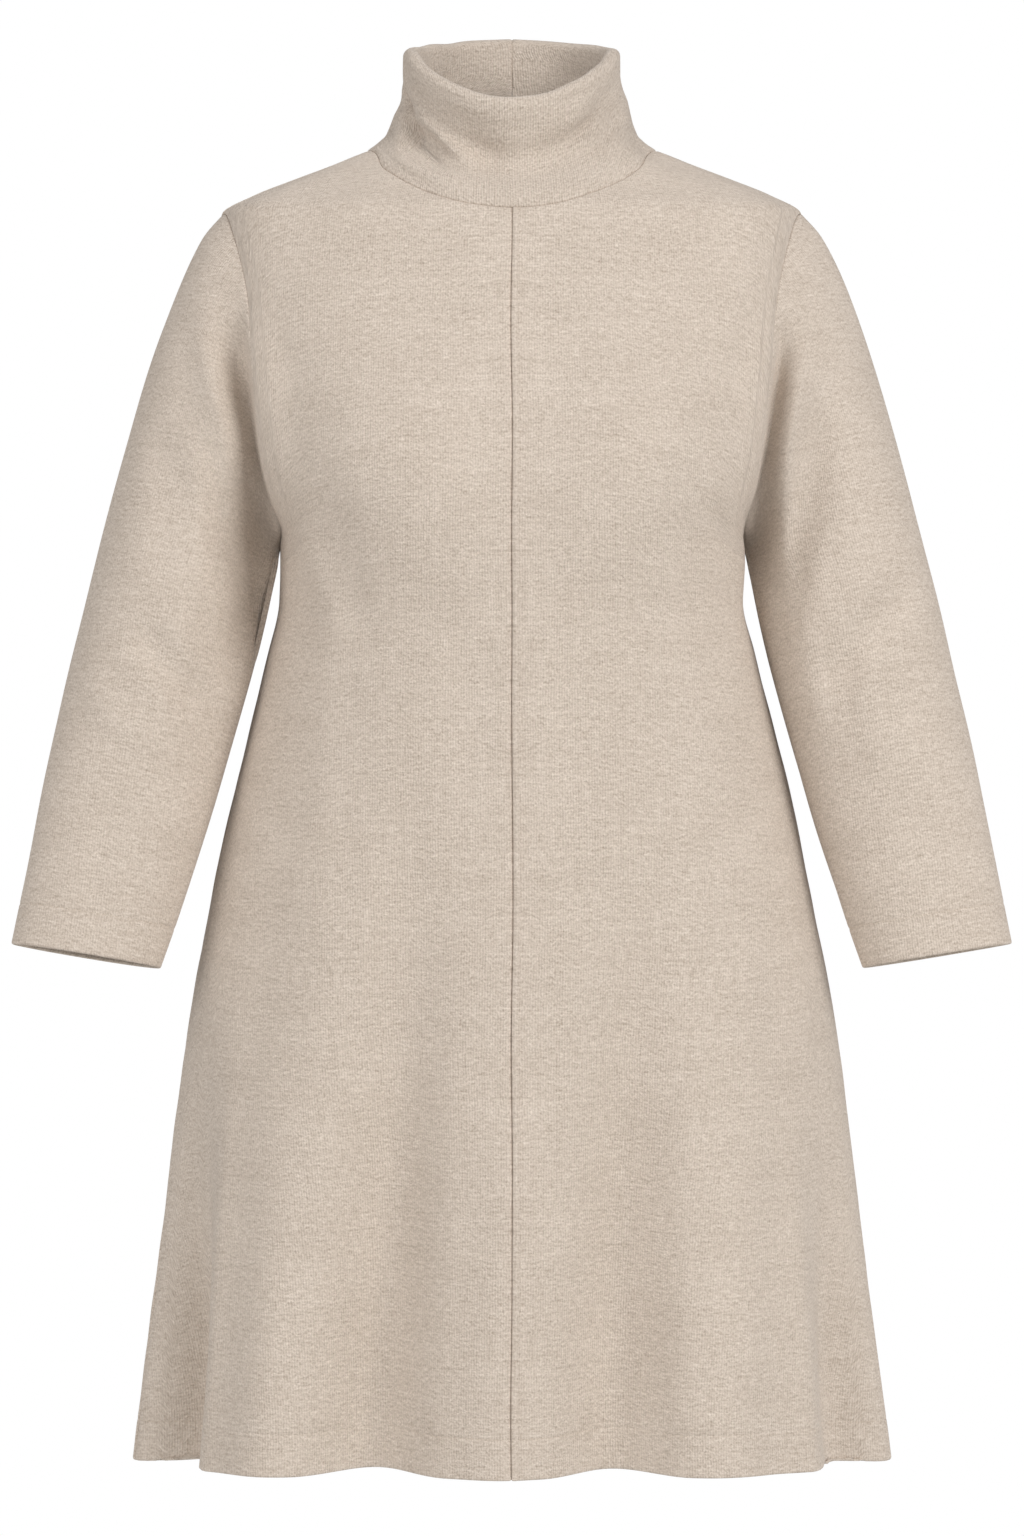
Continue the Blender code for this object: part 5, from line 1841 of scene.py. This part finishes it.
@dataclass
class Studio:
    """Pale floor, soft light and the photograph's view."""

    floor_z: float = -1.40
    floor_radius: float = 2.9
    floor_sides: int = 96
    floor_colour: tuple[float, float, float] = (0.82, 0.82, 0.81)
    floor_roughness: float = 0.9
    camera_distance: float = 4.0
    camera_z: float = -0.432
    focal_pixels: float = 5714.0
    frame_pixels: float = 1536.0
    ambient: float = 0.27
    ambient_way: tuple[float, float, float] = (0.0, -0.17, 0.20)

    def build(self) -> None:
        """Set up the floor, the surround, the lamps and the camera."""
        self.floor()
        self.surround()
        for lamp in STUDIO_LAMPS:
            self.hang(lamp)
        self.camera()

    def floor(self) -> None:
        """Lay the round pale floor."""
        turn = np.linspace(0, 2 * np.pi, self.floor_sides + 1)[:-1]
        points = [
            (self.floor_radius * math.sin(t), self.floor_radius * math.cos(t), self.floor_z)
            for t in turn
        ]
        mesh = bpy.data.meshes.new("studio_floor")
        mesh.from_pydata(points, [], [list(range(self.floor_sides))[::-1]])
        material = bpy.data.materials.new("pale_floor")
        material.use_nodes = True
        shader = material.node_tree.nodes["Principled BSDF"]
        shader.inputs["Base Color"].default_value = (*self.floor_colour, 1.0)
        shader.inputs["Roughness"].default_value = self.floor_roughness
        mesh.materials.append(material)
        item = add_object("studio_floor", mesh)

    def surround(self) -> None:
        """Make the surround white to the camera; its light is stronger from ahead and above."""
        world = bpy.data.worlds.new("studio")
        bpy.context.scene.world = world
        world.use_nodes = True
        tree = world.node_tree
        sky = tree.nodes["Background"]
        sky.inputs["Color"].default_value = (1.0, 1.0, 1.0, 1.0)
        path = tree.nodes.new("ShaderNodeLightPath")
        place = tree.nodes.new("ShaderNodeTexCoord")
        lean = tree.nodes.new("ShaderNodeVectorMath")
        lean.operation = "DOT_PRODUCT"
        lean.inputs[1].default_value = self.ambient_way
        level = tree.nodes.new("ShaderNodeMath")
        level.inputs[1].default_value = self.ambient
        seen = tree.nodes.new("ShaderNodeMath")
        seen.operation = "MAXIMUM"
        tree.links.new(place.outputs["Generated"], lean.inputs[0])
        tree.links.new(lean.outputs["Value"], level.inputs[0])
        tree.links.new(path.outputs["Is Camera Ray"], seen.inputs[0])
        tree.links.new(level.outputs["Value"], seen.inputs[1])
        tree.links.new(seen.outputs["Value"], sky.inputs["Strength"])

    def hang(self, lamp: Lamp) -> None:
        """Hang a lamp so that it faces the middle of the dress.

        Args:
            lamp: Its name, place, size and power.
        """
        data = bpy.data.lights.new(lamp.name, "AREA")
        data.energy, data.size = lamp.power, lamp.size
        item = add_object(lamp.name, data)
        item.location = lamp.place
        way = Vector((0.0, 0.0, self.camera_z)) - Vector(lamp.place)
        item.rotation_euler = way.to_track_quat("-Z", "Y").to_euler()

    def camera(self) -> None:
        """Place the camera at the photograph's view."""
        data = bpy.data.cameras.new("camera")
        data.lens = self.focal_pixels / self.frame_pixels * data.sensor_width
        data.clip_end = 60.0
        item = add_object("camera", data)
        item.location = (0.0, -self.camera_distance, self.camera_z)
        item.rotation_euler = (math.pi / 2, 0.0, 0.0)
        bpy.context.scene.camera = item
        bpy.context.scene.view_settings.view_transform = "Standard"


def main() -> None:
    """Build the dress and its studio."""
    logging.basicConfig(level=logging.INFO, format="%(name)s %(message)s")
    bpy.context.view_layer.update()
    TunicDress().build()
    Studio().build()


if __name__ == "__main__":
    main()
